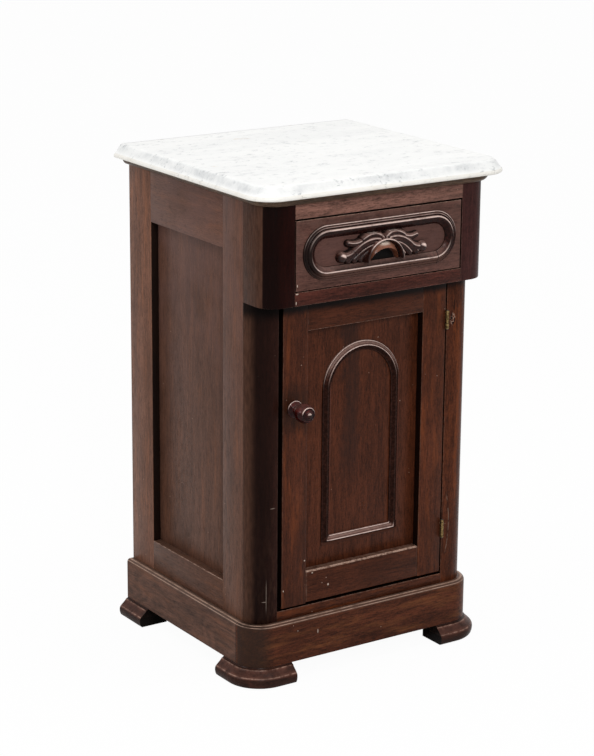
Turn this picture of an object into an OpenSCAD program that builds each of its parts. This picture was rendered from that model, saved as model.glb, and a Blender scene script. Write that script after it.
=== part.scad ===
// Bedside pot cupboard: marble top, one drawer, one door, moulded plinth on four feet.
// Millimetres, +Z up, front towards -Y. The origin is on the floor, under the middle of
// the marble top's outline.

/* [Case] */
// Width across the two side frames
case_w = 392; // [340:1:460]
// Depth of the case, from the drawer front to the back
case_d = 384; // [330:1:440]
// How far the door and its columns stand back from the drawer front
setback = 31; // [24:0.5:40]
// Radius of the rounded front corners, in plan
corner_r = 30; // [24:0.5:40]
// Thickness of the frame boards, columns and rails
board_t = 22; // [18:0.5:26]
// Height of the front rail below the door
bottom_rail_h = 15.5; // [12:0.5:30]
// Height of the front rail between door and drawer
mid_rail_h = 20; // [16:0.5:30]
// Height of the front rail above the drawer
top_rail_h = 22; // [16:0.5:30]
// Height of the drawer opening
drawer_opening_h = 106; // [90:1:140]
// Width of the two blocks beside the drawer
block_w = 48.7; // [44:0.1:56]
// Width of the column on the latch side
latch_column_w = 42; // [36:0.5:44]
// Width of the column on the hinge side
hinge_column_w = 48.3; // [44:0.1:56]
// Thickness of the cupboard floor
floor_t = 15; // [10:0.5:15]
// Thickness of the back boards
back_t = 12; // [8:0.5:16]
// Number of upright back boards
back_count = 3; // [2:1:5]

/* [Side frames] */
// Width of the front stile
side_front_stile_w = 54.5; // [40:0.5:70]
// Width of the back stile
side_back_stile_w = 64; // [40:0.5:80]
// Height of the top rail
side_top_rail_h = 78.5; // [50:0.5:100]
// Height of the bottom rail
side_bottom_rail_h = 47.5; // [30:0.5:70]
// Depth of the panel below the face of its frame
side_recess = 13; // [8:0.5:14]
// Thickness of the panel
side_panel_t = 6; // [4:0.5:6]

/* [Joinery] */
// Depth of the panel grooves
groove_d = 8; // [5:0.5:10]
// Length of the tenons
tenon_l = 25; // [15:0.5:28]
// Thickness of the tenons
tenon_t = 6; // [5:0.5:7]
// Wood left above and below a tenon
tenon_shoulder = 4; // [2:0.5:5]
// Clearance of tenons and panels in their slots
joint_play = 0.1; // [0.05:0.05:0.3]

/* [Tops] */
// Thickness of the marble
marble_t = 20; // [18:0.5:30]
// Overhang of the marble beyond the side frames
marble_side = 26; // [20:0.5:32]
// Overhang of the marble beyond the drawer front
marble_front = 25; // [20:0.5:32]
// Radius of the marble's front corners
marble_r = 42; // [30:0.5:60]
// Width of the sloping moulding round the marble
marble_slope_w = 16; // [10:0.5:22]
// Height of the rounded lip below that slope
marble_lip_h = 6.4; // [4:0.2:9]
// Thickness of the wooden top under the marble
sub_top_t = 12; // [10:0.5:20]
// Projection of that top's moulded edge
sub_top_out = 11; // [6:0.5:14]

/* [Plinth and feet] */
// Height of the plinth boards
plinth_h = 65; // [50:1:90]
// Projection of the plinth beyond the case
plinth_out = 11; // [6:0.5:14]
// Radius of the worn upper edge of the plinth
plinth_edge_r = 3; // [1:0.5:5]
// Distance of the side seams behind the plinth's front
plinth_seam = 42; // [42:0.5:50]
// Height of the feet
foot_h = 28; // [20:1:45]
// Flare of the feet beyond the plinth
foot_flare = 15; // [8:0.5:15]
// Width of the feet's legs under the plinth
foot_leg_w = 34; // [28:0.5:44]
// Length of the front feet, across the front
foot_front_l = 73; // [60:1:100]
// Length of the front feet, along the side
foot_side_l = 76; // [66:1:110]
// Length of the back feet
foot_back_l = 64; // [50:1:90]

/* [Door] */
// Height of the door
door_h = 467; // [400:1:540]
// Thickness of the door frame
door_t = 22; // [18:0.5:22]
// Gap below the door
door_foot_gap = 1.5; // [1:0.5:4]
// Gap above the door
door_head_gap = 3; // [2:0.5:6]
// Gap between the door and the latch column
latch_gap = 7.8; // [3:0.2:9]
// Gap between the door and the hinge column
hinge_gap = 1.5; // [1.2:0.1:2]
// Width of the door's stiles
door_stile_w = 43; // [36:0.5:56]
// Height of the door's top rail
door_top_rail_h = 45; // [36:0.5:60]
// Height of the door's bottom rail
door_bottom_rail_h = 52.5; // [40:0.5:70]
// Depth of the door's panel below its frame
door_recess = 13; // [8:0.5:13]
// Thickness of the door's panel
door_panel_t = 6; // [4:0.5:6]
// Width across the arched moulding
arch_w = 138; // [100:1:170]
// Distance of the arched moulding below the top rail
arch_head = 31; // [10:0.5:100]
// Distance of the arched moulding above the bottom rail
arch_lift = 30; // [10:0.5:60]
// Width of the arched moulding's strip
arch_band = 14.5; // [9:0.5:18]
// Height of the arched moulding's strip
arch_rise = 6.5; // [4:0.5:8]

/* [Hinges] */
// Height of each hinge
hinge_h = 28; // [22:1:45]
// Height of the lower hinge's foot above the door's foot
hinge_low = 59; // [40:1:120]
// Distance of the upper hinge's head below the door's head
hinge_high = 48; // [40:1:120]
// Radius of the knuckles
knuckle_r = 2.4; // [2.2:0.1:3]
// Radius of the hinge pin
pin_r = 1.1; // [0.9:0.05:1.2]
// Running clearance of pins and spindles in their holes
run_fit = 0.06; // [0.03:0.01:0.1]
// Thickness of the hinge leaves
leaf_t = 1.2; // [0.9:0.1:1.4]
// Width of the hinge leaves
leaf_w = 19; // [14:0.5:20]
// Radius of the hinge screws
hinge_screw_r = 1.4; // [1:0.1:1.8]
// Length of the hinge screws
hinge_screw_l = 16; // [10:1:20]

/* [Knob and catch] */
// Height of the knob above the door's foot
knob_z = 308; // [200:1:360]
// Distance of the knob from the door's free edge
knob_in = 20; // [16:0.5:24]
// Radius of the knob's ball
knob_r = 14.5; // [12:0.5:18]
// Distance of the ball's middle in front of the door
knob_out = 31; // [27:0.5:38]
// Radius of the turned base
rose_r = 13; // [10:0.5:15]
// Radius of the spindle
spindle_r = 4; // [3:0.5:5]
// Length of the catch, from the spindle's axis to its tip
catch_l = 40; // [34:0.5:44]
// Width of the catch
catch_w = 11; // [10.5:0.5:16]
// Thickness of the catch
catch_t = 3; // [2:0.5:4]
// Gap between the door's back and the catch
catch_gap = 0.8; // [0.3:0.1:1.5]

/* [Drawer] */
// Gap round the drawer front
drawer_gap = 1; // [0.5:0.1:2]
// Thickness of the drawer front
drawer_front_t = 20; // [16:0.5:24]
// Space behind the drawer
drawer_back_gap = 27; // [10:1:80]
// Thickness of the drawer's sides and back
drawer_side_t = 10; // [7:0.5:13]
// Height of the drawer's sides
drawer_side_h = 96; // [70:1:96]
// Thickness of the drawer's bottom
drawer_bottom_t = 5; // [4:0.5:8]
// Height of the drawer's bottom above the runners
drawer_bottom_lift = 9; // [6:0.5:16]
// Gap between the drawer and its runners
drawer_run = 0.3; // [0.2:0.1:0.6]
// Gap between the drawer's sides and its guides
guide_gap = 0.8; // [0.3:0.1:1.5]
// Width of the runners and kickers
runner_w = 46; // [40:1:70]
// Height of the runners and kickers
runner_h = 14; // [10:0.5:16]
// Height of the guides beside the drawer
guide_h = 22; // [12:1:40]
// Thickness of the dust board under the drawer
dust_t = 6; // [4:0.5:8]

/* [Drawer moulding and pull] */
// Width across the round-ended moulding
stadium_w = 270; // [200:1:276]
// Height of the round-ended moulding
stadium_h = 80.5; // [64:0.5:90]
// Width of its strip
stadium_band = 19.5; // [12:0.5:20]
// Height of its bead
stadium_rise = 7; // [4:0.5:9]
// Width across the carved pull's balls
pull_w = 160; // [120:1:164]
// Radius of the pull's hollow lip
pull_lip_r = 25; // [22:0.5:28]
// How far the pull stands out from the drawer front
pull_out = 19; // [17:0.5:20]
// Radius of the rib over the lip
pull_rib_r = 30; // [29:0.5:32]
// Thickness of the rib over the lip
pull_rib_t = 7.2; // [5:0.2:9]
// Clearance between the pull and the moulding round it
pull_play = 0.3; // [0.2:0.1:1]
// How far the lower leaves stand out
pull_leaf_out = 9; // [6:0.5:10]
// How far the upper leaves stand out
pull_leaf_top = 13; // [10.5:0.5:16]
// Radius of the balls at the ends
pull_ball_r = 7; // [5:0.5:8]
// Thickness of the hollow lip's wall
pull_lip_t = 4; // [3:0.5:6]
// Radius of the round mouth below the lip
pull_mouth_r = 23; // [20:0.5:24]
// Distance of that mouth's middle below the pull's foot
pull_mouth_drop = 10; // [8:0.5:12]
// Radius of the pull's screws
pull_screw_r = 1.8; // [1.2:0.1:2.4]
// Distance between the pull's screws
pull_screw_pitch = 84; // [80:1:90]
// Height of the pull's screws above its foot
pull_screw_rise = 22; // [18:0.5:24]
// How far the pull's screws enter it
pull_screw_in = 6; // [3:0.5:8]

/* [Hidden] */
$fn = 64;
// Small length by which a cutter runs past the face it cuts
eps = 0.5;

// Heights, from the floor up
case_z = foot_h + plinth_h;
door_z = case_z + bottom_rail_h + door_foot_gap;
overhang_z = door_z + door_h + door_head_gap;
drawer_z = overhang_z + mid_rail_h;
drawer_top_z = drawer_z + drawer_opening_h;
case_top_z = drawer_top_z + top_rail_h;
marble_z = case_top_z + sub_top_t;
side_h = case_top_z - case_z;

// Places across and along the case
half_w = case_w / 2;
inner_x = half_w - board_t;
back_y = (case_d + marble_front) / 2;
front_y = back_y - case_d;
lower_y = front_y + setback;
stile_y = lower_y + corner_r;
back_face_y = back_y - back_t;
block_x = half_w - block_w;
latch_x = -half_w + latch_column_w;

// Door and hinges
door_back_y = lower_y + door_t;
hinge_x = half_w - hinge_column_w;
door_left_x = latch_x + latch_gap;
door_right_x = hinge_x - hinge_gap;
door_w = door_right_x - door_left_x;
axis_x = door_right_x + hinge_gap / 2;
axis_y = lower_y - knuckle_r - 0.1;
hinge_zs = [door_z + hinge_low, door_z + door_h - hinge_high - hinge_h];
leaf_gap = 0.15;
leaf_back_y = lower_y + leaf_w;

// Drawer
drawer_half_w = block_x - drawer_gap;
drawer_side_z = drawer_z + drawer_run;
drawer_back_y = back_face_y - drawer_back_gap;
drawer_l = drawer_back_y - front_y;
guide_x = drawer_half_w + guide_gap;
runner_y = front_y + setback + corner_r;
moulding_z = drawer_z + drawer_opening_h / 2;
pull_h = stadium_h - 2 * (stadium_band + pull_play);
pull_z = moulding_z - pull_h / 2;

// Knob
knob_axis_x = door_left_x + knob_in;
knob_axis_z = door_z + knob_z;
catch_y = door_back_y + catch_gap;

// ---------- shared shapes ----------

// Points of a quarter ellipse from [0, 0] to [w, h], leaving along the first axis
function quarter(w, h, steps = 6) =
    [for (i = [0 : steps]) [w * sin(90 * i / steps), h * (1 - cos(90 * i / steps))]];

// Plan outline with round front corners, its edge moved out by grow
module plan_outline(grow, front, back) {
    r = corner_r + grow;
    w = half_w + grow;
    translate([-w + r, front - grow]) square([2 * (w - r), back - front + grow]);
    translate([-w, front - grow + r]) square([2 * w, back - front + grow - r]);
    for (side = [-1, 1]) translate([side * (w - r), front - grow + r]) circle(r);
}

// Straight moulding: points are [out, up] and it runs along +Y with its outside towards -X
module left_run(points, length) {
    rotate([90, 0, 180]) linear_extrude(length) polygon(points);
}

// Slab with round front corners whose front and sides carry a moulded edge.
// points are [out, up] beyond the outline w, front, back with corner radius r.
module moulded_slab(points, inset, w, front, back, r, t) {
    section = concat([[-inset, 0]], points, [[-inset, t]]);
    linear_extrude(t) {
        translate([-w + r, front + inset]) square([2 * (w - r), back - front - inset]);
        translate([-w + inset, front + r]) square([2 * (w - inset), back - front - r]);
        for (side = [-1, 1]) translate([side * (w - r), front + r]) circle(r - inset);
    }
    for (side = [0, 1]) mirror([side, 0, 0]) {
        translate([-w, front + r, 0]) left_run(section, back - front - r);
        translate([-w + r, front + r, 0]) rotate([0, 0, 180])
            rotate_extrude(angle = 90) translate([r, 0]) polygon(section);
    }
    translate([w - r, front, 0]) rotate([0, 0, 90]) left_run(section, 2 * (w - r));
}

// Stile of a framed panel: x across from its outer edge, y into the wood, z up.
// rails lists [foot, height] of each rail that is tenoned into it.
module frame_stile(h, w, t, recess, panel_t, rails) {
    low = rails[0][0] + rails[0][1];
    high = rails[1][0];
    difference() {
        cube([w, t, h]);
        translate([w - groove_d, recess, low - groove_d])
            cube([groove_d + eps, panel_t, high - low + 2 * groove_d]);
        for (rail = rails)
            translate([w - tenon_l - joint_play, (t - tenon_t) / 2 - joint_play,
                       rail[0] + tenon_shoulder - joint_play])
                cube([tenon_l + eps + joint_play, tenon_t + 2 * joint_play,
                      rail[1] - 2 * tenon_shoulder + 2 * joint_play]);
    }
}

// Rail of a framed panel, between two stiles; groove_up is true where its panel stands on it
module frame_rail(l, h, t, recess, panel_t, groove_up) {
    difference() {
        union() {
            cube([l, t, h]);
            translate([-tenon_l, (t - tenon_t) / 2, tenon_shoulder])
                cube([l + 2 * tenon_l, tenon_t, h - 2 * tenon_shoulder]);
        }
        translate([-tenon_l - eps, recess, groove_up ? h - groove_d : -eps])
            cube([l + 2 * (tenon_l + eps), panel_t, groove_d + eps]);
    }
}

// ---------- tops ----------

// Outline of the marble's edge: round lip, fillet, then a hollow and round slope
function marble_edge() = concat(
    [[-1.4, 0], [-0.4, 0.5], [0, 1.6], [0, marble_lip_h - 1.8], [-0.6, marble_lip_h - 0.5],
     [-1.8, marble_lip_h], [-2.6, marble_lip_h + 0.9]],
    [for (p = quarter(marble_slope_w / 2 - 1.3, (marble_t - marble_lip_h) / 2 - 0.9))
        [-2.6 - p[0], marble_lip_h + 0.9 + p[1]]],
    [for (i = [1 : 6]) [-marble_slope_w / 2 - 1.3 - (marble_slope_w / 2) * (1 - cos(15 * i)),
        (marble_t + marble_lip_h) / 2 + (marble_t - marble_lip_h) / 2 * sin(15 * i)]]);

module marble_top() {
    color("whitesmoke") translate([0, 0, marble_z])
        moulded_slab(marble_edge(), marble_slope_w + 3, half_w + marble_side,
                     front_y - marble_front, back_y, marble_r, marble_t);
}

module sub_top() {
    edge = [for (p = quarter(sub_top_out - 2, sub_top_t - 1)) [2 + p[0], p[1]]];
    color("#4a2620") translate([0, 0, case_top_z])
        moulded_slab(concat(edge, [[sub_top_out, sub_top_t]]), corner_r / 2,
                     half_w, front_y, back_y, corner_r, sub_top_t);
}

// ---------- side frames, drawn on the right and mirrored for the left ----------

side_rails = [[0, side_bottom_rail_h], [side_h - side_top_rail_h, side_top_rail_h]];
side_gap_y = stile_y + side_front_stile_w;
side_rail_l = back_y - side_back_stile_w - side_gap_y;

// Puts a shape drawn with x along the depth and y into the wood on the right side
module on_right(y) {
    translate([half_w, y, case_z]) rotate([0, 0, 90]) children();
}

module side_front_stile() {
    on_right(stile_y)
        frame_stile(side_h, side_front_stile_w, board_t, side_recess, side_panel_t, side_rails);
}

module side_back_stile() {
    on_right(back_y) mirror([1, 0, 0])
        frame_stile(side_h, side_back_stile_w, board_t, side_recess, side_panel_t, side_rails);
}

module side_top_rail() {
    on_right(side_gap_y) translate([0, 0, side_rails[1][0]])
        frame_rail(side_rail_l, side_top_rail_h, board_t, side_recess, side_panel_t, false);
}

module side_bottom_rail() {
    on_right(side_gap_y)
        frame_rail(side_rail_l, side_bottom_rail_h, board_t, side_recess, side_panel_t, true);
}

module side_panel() {
    in = groove_d - joint_play;
    on_right(side_gap_y) translate([-in, side_recess, side_bottom_rail_h - in])
        cube([side_rail_l + 2 * in, side_panel_t, side_rails[1][0] - side_bottom_rail_h + 2 * in]);
}

module left_front_stile() { color("#5a4038") mirror([1, 0, 0]) side_front_stile(); }
module left_back_stile() { color("#5a4038") mirror([1, 0, 0]) side_back_stile(); }
module left_top_rail() { color("#6a4238") mirror([1, 0, 0]) side_top_rail(); }
module left_bottom_rail() { color("#5a4038") mirror([1, 0, 0]) side_bottom_rail(); }
module left_side_panel() { color("#4c3730") mirror([1, 0, 0]) side_panel(); }
module right_front_stile() { color("#5a4038") side_front_stile(); }
module right_back_stile() { color("#5a4038") side_back_stile(); }
module right_top_rail() { color("#6a4238") side_top_rail(); }
module right_bottom_rail() { color("#5a4038") side_bottom_rail(); }
module right_side_panel() { color("#4c3730") side_panel(); }

// ---------- front corners and rails ----------

// Upright corner piece on the right: a face of width w at y face, returned along the side
module corner_post(w, face, z, h) {
    translate([0, 0, z]) linear_extrude(h) difference() {
        intersection() {
            plan_outline(0, face, back_y);
            translate([half_w - w, face]) square([w, stile_y - face]);
        }
        translate([0, face + board_t]) square([inner_x, case_d]);
    }
}

// Board between the side frames, with a front edge that fits between two corner pieces
module front_rail(left, right, z, h) {
    translate([0, 0, z]) linear_extrude(h) {
        translate([left, front_y]) square([right - left, board_t + eps]);
        translate([-inner_x, front_y + board_t]) square([2 * inner_x, stile_y - front_y - board_t]);
    }
}

module left_corner_block() {
    color("#2c1210") mirror([1, 0, 0])
        corner_post(block_w, front_y, overhang_z, case_top_z - overhang_z);
}

module right_corner_block() {
    color("#3c1e1a") corner_post(block_w, front_y, overhang_z, case_top_z - overhang_z);
}

module latch_column() {
    color("#2c1210") mirror([1, 0, 0])
        corner_post(latch_column_w, lower_y, case_z, overhang_z - case_z);
}

module hinge_column() {
    color("#3c1e1a") difference() {
        corner_post(hinge_column_w, lower_y, case_z, overhang_z - case_z);
        for (z = hinge_zs) {
            translate([hinge_x - eps, axis_y, z])
                cube([axis_x + leaf_gap + leaf_t - hinge_x + eps, leaf_back_y - axis_y, hinge_h]);
            hinge_screw_holes(z, 1);
        }
    }
}

module top_front_rail() {
    color("#5c342c") front_rail(-block_x, block_x, drawer_top_z, top_rail_h);
}

module mid_front_rail() {
    color("#5c342c") front_rail(-block_x, block_x, overhang_z, mid_rail_h);
}

module bottom_front_rail() {
    color("#4c2a22") translate([latch_x, lower_y, case_z])
        cube([hinge_x - latch_x, board_t, bottom_rail_h]);
}

// ---------- inside of the case ----------

module cupboard_floor() {
    y = lower_y + board_t;
    color("#8a6a50") translate([-inner_x, y, case_z])
        cube([2 * inner_x, back_face_y - y, floor_t]);
}

module back_boards() {
    seam = 0.6;
    w = (2 * inner_x - seam * (back_count - 1)) / back_count;
    color("#7a5c46") for (i = [0 : back_count - 1])
        translate([-inner_x + i * (w + seam), back_face_y, case_z]) cube([w, back_t, side_h]);
}

// The pair of bars along both sides of the drawer opening, drawn on the right
module side_bars(x, w, z, h) {
    for (side = [0, 1]) mirror([side, 0, 0])
        translate([x, runner_y, z]) cube([w, back_face_y - runner_y, h]);
}

module drawer_runners() {
    color("#8a6a50") difference() {
        side_bars(inner_x - runner_w, runner_w, drawer_z - runner_h, runner_h);
        translate([-inner_x + runner_w - groove_d, runner_y - eps, drawer_z - runner_h / 2 - dust_t / 2])
            cube([2 * (inner_x - runner_w + groove_d), case_d, dust_t]);
    }
}

module dust_board() {
    in = groove_d - joint_play;
    color("#7a5c46")
        translate([-inner_x + runner_w - in, runner_y, drawer_z - runner_h / 2 - dust_t / 2])
            cube([2 * (inner_x - runner_w + in), back_face_y - runner_y, dust_t]);
}

module drawer_guides() {
    color("#8a6a50") side_bars(guide_x, inner_x - guide_x, drawer_z, guide_h);
}

module drawer_kickers() {
    color("#8a6a50") side_bars(inner_x - runner_w, runner_w, drawer_top_z, runner_h);
}

// ---------- plinth and feet ----------

plinth_y = lower_y - plinth_out;
plinth_r = corner_r + plinth_out;
plinth_x = half_w + plinth_out;
plinth_seam_y = plinth_y + plinth_seam;

// Section of a plinth board: [out, up] from its outer face, with a worn upper edge
plinth_section = concat(
    [[-board_t, 0], [0, 0]],
    [for (i = [0 : 4]) [-plinth_edge_r * (1 - cos(22.5 * i)),
                        plinth_h - plinth_edge_r * (1 - sin(22.5 * i))]],
    [[-board_t, plinth_h]]);

module plinth_front() {
    color("#5c382c") translate([0, 0, foot_h]) {
        translate([plinth_x - plinth_r, plinth_y, 0]) rotate([0, 0, 90])
            left_run(plinth_section, 2 * (plinth_x - plinth_r));
        for (side = [0, 1]) mirror([side, 0, 0]) {
            translate([-plinth_x + plinth_r, plinth_y + plinth_r, 0]) rotate([0, 0, 180])
                rotate_extrude(angle = 90) translate([plinth_r, 0]) polygon(plinth_section);
            translate([-plinth_x, plinth_y + plinth_r, 0])
                left_run(plinth_section, plinth_seam - plinth_r);
        }
    }
}

module plinth_side() {
    translate([-plinth_x, plinth_seam_y, foot_h])
        left_run(plinth_section, back_y - plinth_seam_y);
}

module plinth_left() { color("#5c4238") plinth_side(); }
module plinth_right() { color("#5c4238") mirror([1, 0, 0]) plinth_side(); }

module plinth_back() {
    x = plinth_x - board_t;
    color("#6a4c3c") translate([-x, back_y - board_t, foot_h]) cube([2 * x, board_t, plinth_h]);
}

// One leg of a foot, in plan, inside the plinth's outline grown by the flare at that height; its
// free ends are cut square
module foot_slice(z, flare, x0, x1, y0, y1) {
    translate([0, 0, z]) linear_extrude(0.1) intersection() {
        plan_outline(plinth_out + flare, lower_y, back_y);
        translate([x0 - flare, y0 - flare]) square([x1 - x0 + flare, y1 - y0 + flare]);
    }
}

// Flared leg: flush with the plinth above, widest at the nose, drawn in towards the floor.
// The flare stops flat at the back of the case.
module foot_leg(x0, x1, y0, y1) {
    levels = [[0, 0.8], [0.3, 0.92], [0.46, 1], [0.56, 0.94], [1, 0]];
    hull() for (level = levels)
        foot_slice(level[0] * (foot_h - 0.1), level[1] * foot_flare, x0, x1, y0, y1, $fn = 32);
}

module front_foot() {
    foot_leg(-plinth_x, -plinth_x + foot_front_l, plinth_y, plinth_y + foot_leg_w);
    foot_leg(-plinth_x, -plinth_x + foot_leg_w, plinth_y, plinth_y + foot_side_l);
}

module back_foot() {
    foot_leg(-plinth_x, -plinth_x + foot_leg_w, back_y - foot_back_l, back_y);
    foot_leg(-plinth_x, -plinth_x + foot_back_l, back_y - foot_leg_w, back_y);
}

module foot_front_left() { color("#5a3a34") front_foot(); }
module foot_front_right() { color("#5a3a34") mirror([1, 0, 0]) front_foot(); }
module foot_back_left() { color("#5a3a34") back_foot(); }
module foot_back_right() { color("#5a3a34") mirror([1, 0, 0]) back_foot(); }

module glue_blocks() {
    size = 24;
    reach = plinth_h - 8;
    x = plinth_x - board_t;
    ys = [plinth_seam_y, plinth_seam_y + case_d * 0.42, back_y - board_t - size];
    color("#8a6a50") for (side = [0, 1]) mirror([side, 0, 0]) for (y = ys)
        translate([x - size, y, case_z - reach]) cube([size, size, reach]);
}

// ---------- hinges ----------

knuckle_h = hinge_h / 3;

// Three screws through one leaf into the wood; side is 1 for the case and -1 for the door
module hinge_screws(z, side, r, l) {
    for (i = [0 : 2])
        translate([axis_x + side * leaf_gap, lower_y + leaf_w * (i == 1 ? 0.35 : 0.72),
                   z + hinge_h * (0.18 + 0.32 * i)])
            rotate([0, side * 90, 0]) {
                cylinder(r = r, h = l);
                cylinder(r1 = 2 * hinge_screw_r, r2 = r, h = leaf_t);
            }
}

module hinge_screw_holes(z, side) {
    hinge_screws(z, side, hinge_screw_r, hinge_screw_l);
}

// One leaf with its knuckles; levels lists the knuckles that it holds, counted from below
module hinge_leaf(z, side, levels) {
    x0 = side > 0 ? axis_x + leaf_gap : axis_x - leaf_gap - leaf_t;
    difference() {
        union() {
            translate([x0, axis_y + knuckle_r + 0.25, z])
                cube([leaf_t, leaf_back_y - axis_y - knuckle_r - 0.25, hinge_h]);
            for (level = levels) translate([0, 0, z + level * knuckle_h + 0.1]) {
                translate([axis_x, axis_y, 0]) cylinder(r = knuckle_r, h = knuckle_h - 0.2);
                translate([x0, axis_y, 0]) cube([leaf_t, knuckle_r + 1, knuckle_h - 0.2]);
            }
        }
        translate([axis_x, axis_y, z - eps]) cylinder(r = pin_r + run_fit, h = hinge_h + 2 * eps);
        hinge_screws(z, side, hinge_screw_r, hinge_screw_l);
    }
}

module hinge_frame_leaves() {
    color("#8c7440") for (z = hinge_zs) hinge_leaf(z, 1, [0, 2]);
}

module hinge_door_leaves() {
    color("#8c7440") for (z = hinge_zs) hinge_leaf(z, -1, [1]);
}

module hinge_pins() {
    color("#6e5a34") for (z = hinge_zs) translate([axis_x, axis_y, z]) {
        cylinder(r = pin_r, h = hinge_h);
        for (end = [-0.8, hinge_h]) translate([0, 0, end]) cylinder(r = 1.8, h = 0.8);
    }
}

module hinge_frame_screws() {
    color("#6e5a34") for (z = hinge_zs) hinge_screws(z, 1, hinge_screw_r, hinge_screw_l - 1);
}

module hinge_door_screws() {
    color("#6e5a34") for (z = hinge_zs) hinge_screws(z, -1, hinge_screw_r, hinge_screw_l - 1);
}

// ---------- door ----------

door_rails = [[0, door_bottom_rail_h], [door_h - door_top_rail_h, door_top_rail_h]];
door_rail_l = door_w - 2 * door_stile_w;

module door_stile() {
    frame_stile(door_h, door_stile_w, door_t, door_recess, door_panel_t, door_rails);
}

module door_latch_stile() {
    color("#50302a") difference() {
        translate([door_left_x, lower_y, door_z]) door_stile();
        translate([knob_axis_x, lower_y - eps, knob_axis_z]) rotate([-90, 0, 0])
            cylinder(r = spindle_r + run_fit, h = door_t + 2 * eps);
    }
}

module door_hinge_stile() {
    leaf_x = axis_x - leaf_gap - leaf_t;
    color("#50302a") difference() {
        translate([door_right_x, lower_y, door_z]) mirror([1, 0, 0]) door_stile();
        for (z = hinge_zs) {
            translate([leaf_x, axis_y, z])
                cube([door_right_x - leaf_x + eps, leaf_back_y - axis_y, hinge_h]);
            hinge_screw_holes(z, -1);
        }
    }
}

module door_top_rail() {
    color("#50302a") translate([door_left_x + door_stile_w, lower_y, door_z + door_rails[1][0]])
        frame_rail(door_rail_l, door_top_rail_h, door_t, door_recess, door_panel_t, false);
}

module door_bottom_rail() {
    color("#50302a") translate([door_left_x + door_stile_w, lower_y, door_z])
        frame_rail(door_rail_l, door_bottom_rail_h, door_t, door_recess, door_panel_t, true);
}

module door_panel() {
    in = groove_d - joint_play;
    color("#4a2c22")
        translate([door_left_x + door_stile_w - in, lower_y + door_recess,
                   door_z + door_bottom_rail_h - in])
            cube([door_rail_l + 2 * in, door_panel_t, door_rails[1][0] - door_bottom_rail_h + 2 * in]);
}

// Section of a planted moulding, [across, up] from its inner edge: lip, bead and outer fillet
function strip_section(w, h) = concat(
    [[0, 0], [0, 0.3 * h], [0.13 * w, 0.38 * h], [0.2 * w, 0.26 * h]],
    [for (a = [165 : -25 : 15]) [0.47 * w + 0.27 * w * cos(a), 0.3 * h + 0.7 * h * sin(a)]],
    [[0.76 * w, 0.24 * h], [0.84 * w, 0.4 * h], [w, 0.34 * h], [w, 0]]);

// Moulding run that rises along +Z, bent about nothing: x across, height towards -Y
module strip_run(section, length) {
    linear_extrude(length) mirror([0, 1]) polygon(section);
}

// Half ring of the moulding over +Z, around the origin, with inner radius r
module strip_arch(section, r) {
    rotate([90, 0, 0]) rotate_extrude(angle = 180) translate([r, 0]) polygon(section);
}

module arch_moulding() {
    section = strip_section(arch_band, arch_rise);
    r = arch_w / 2 - arch_band;
    spring = door_rails[1][0] - door_bottom_rail_h - arch_lift - arch_head - arch_w / 2;
    middle_x = (door_left_x + door_right_x) / 2;
    foot_z = door_z + door_bottom_rail_h + arch_lift;
    color("#3c1c16") translate([middle_x, lower_y + door_recess, foot_z]) {
        translate([0, 0, spring]) strip_arch(section, r);
        for (side = [0, 1]) mirror([side, 0, 0]) difference() {
            translate([r, 0, 0]) strip_run(section, spring);
            translate([r, 0, 0]) arch_mitre();
        }
        difference() {
            translate([-arch_w / 2, 0, arch_band]) rotate([0, 90, 0]) strip_run(section, arch_w);
            for (side = [0, 1]) mirror([side, 0, 0]) translate([r, 0, 0]) rotate([0, 180, 0])
                translate([-arch_band, 0, -arch_band]) arch_mitre();
        }
    }
}

// Wedge that cuts a 45 degree mitre at the moulding's lower corner
module arch_mitre() {
    rotate([90, 0, 0]) linear_extrude(2 * arch_rise)
        polygon([[0, 0], [arch_band, 0], [0, arch_band]]);
}

// ---------- knob and catch ----------

// Half section of the turned knob: [radius, distance in front of the door]
knob_neck = 0.42 * knob_r;
knob_section = concat(
    [[0, 0.3], [rose_r, 0.3], [rose_r, 2.2], [rose_r - 1.2, 3.4], [rose_r - 4, 4.4],
     [knob_neck + 1, 6.5], [knob_neck, 9], [knob_neck, 13], [knob_neck + 2.2, 14.4],
     [knob_neck + 2.2, 16]],
    [for (a = [-62 : 12 : 58]) [knob_r * cos(a), knob_out + 0.92 * knob_r * sin(a)]],
    [[0.46 * knob_r, knob_out + 0.8 * knob_r], [0.4 * knob_r, knob_out + 0.7 * knob_r],
     [0.3 * knob_r, knob_out + 0.74 * knob_r], [0.26 * knob_r, knob_out + 0.94 * knob_r],
     [0, knob_out + 1.02 * knob_r]]);

// Turns a shape drawn along +Z into one that stands in front of the door at the knob's axis
module at_knob(y) {
    translate([knob_axis_x, y, knob_axis_z]) rotate([90, 0, 0]) children();
}

module door_knob() {
    color("#3a100c") at_knob(lower_y) difference() {
        rotate_extrude() polygon(knob_section);
        translate([0, 0, -eps]) cylinder(r = spindle_r, h = 12 + eps);
    }
}

module knob_spindle() {
    tail = catch_gap + catch_t + 3;
    color("#8c7440") at_knob(lower_y + door_t + tail) {
        cylinder(r = spindle_r, h = door_t + tail + 12);
        cylinder(r = spindle_r + 1.6, h = 3);
    }
}

// Hangs down when it is free, and turns a quarter to reach behind the latch column
module turn_catch() {
    color("#8c7440") at_knob(catch_y + catch_t) difference() {
        union() {
            cylinder(r = catch_w / 2 + 2, h = catch_t);
            translate([-catch_w / 2, -catch_l + catch_w / 2, 0])
                cube([catch_w, catch_l - catch_w / 2, catch_t]);
            translate([0, -catch_l + catch_w / 2, 0]) cylinder(r = catch_w / 2, h = catch_t);
        }
        translate([0, 0, -eps]) cylinder(r = spindle_r, h = catch_t + 2 * eps);
    }
}

// ---------- drawer ----------

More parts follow.
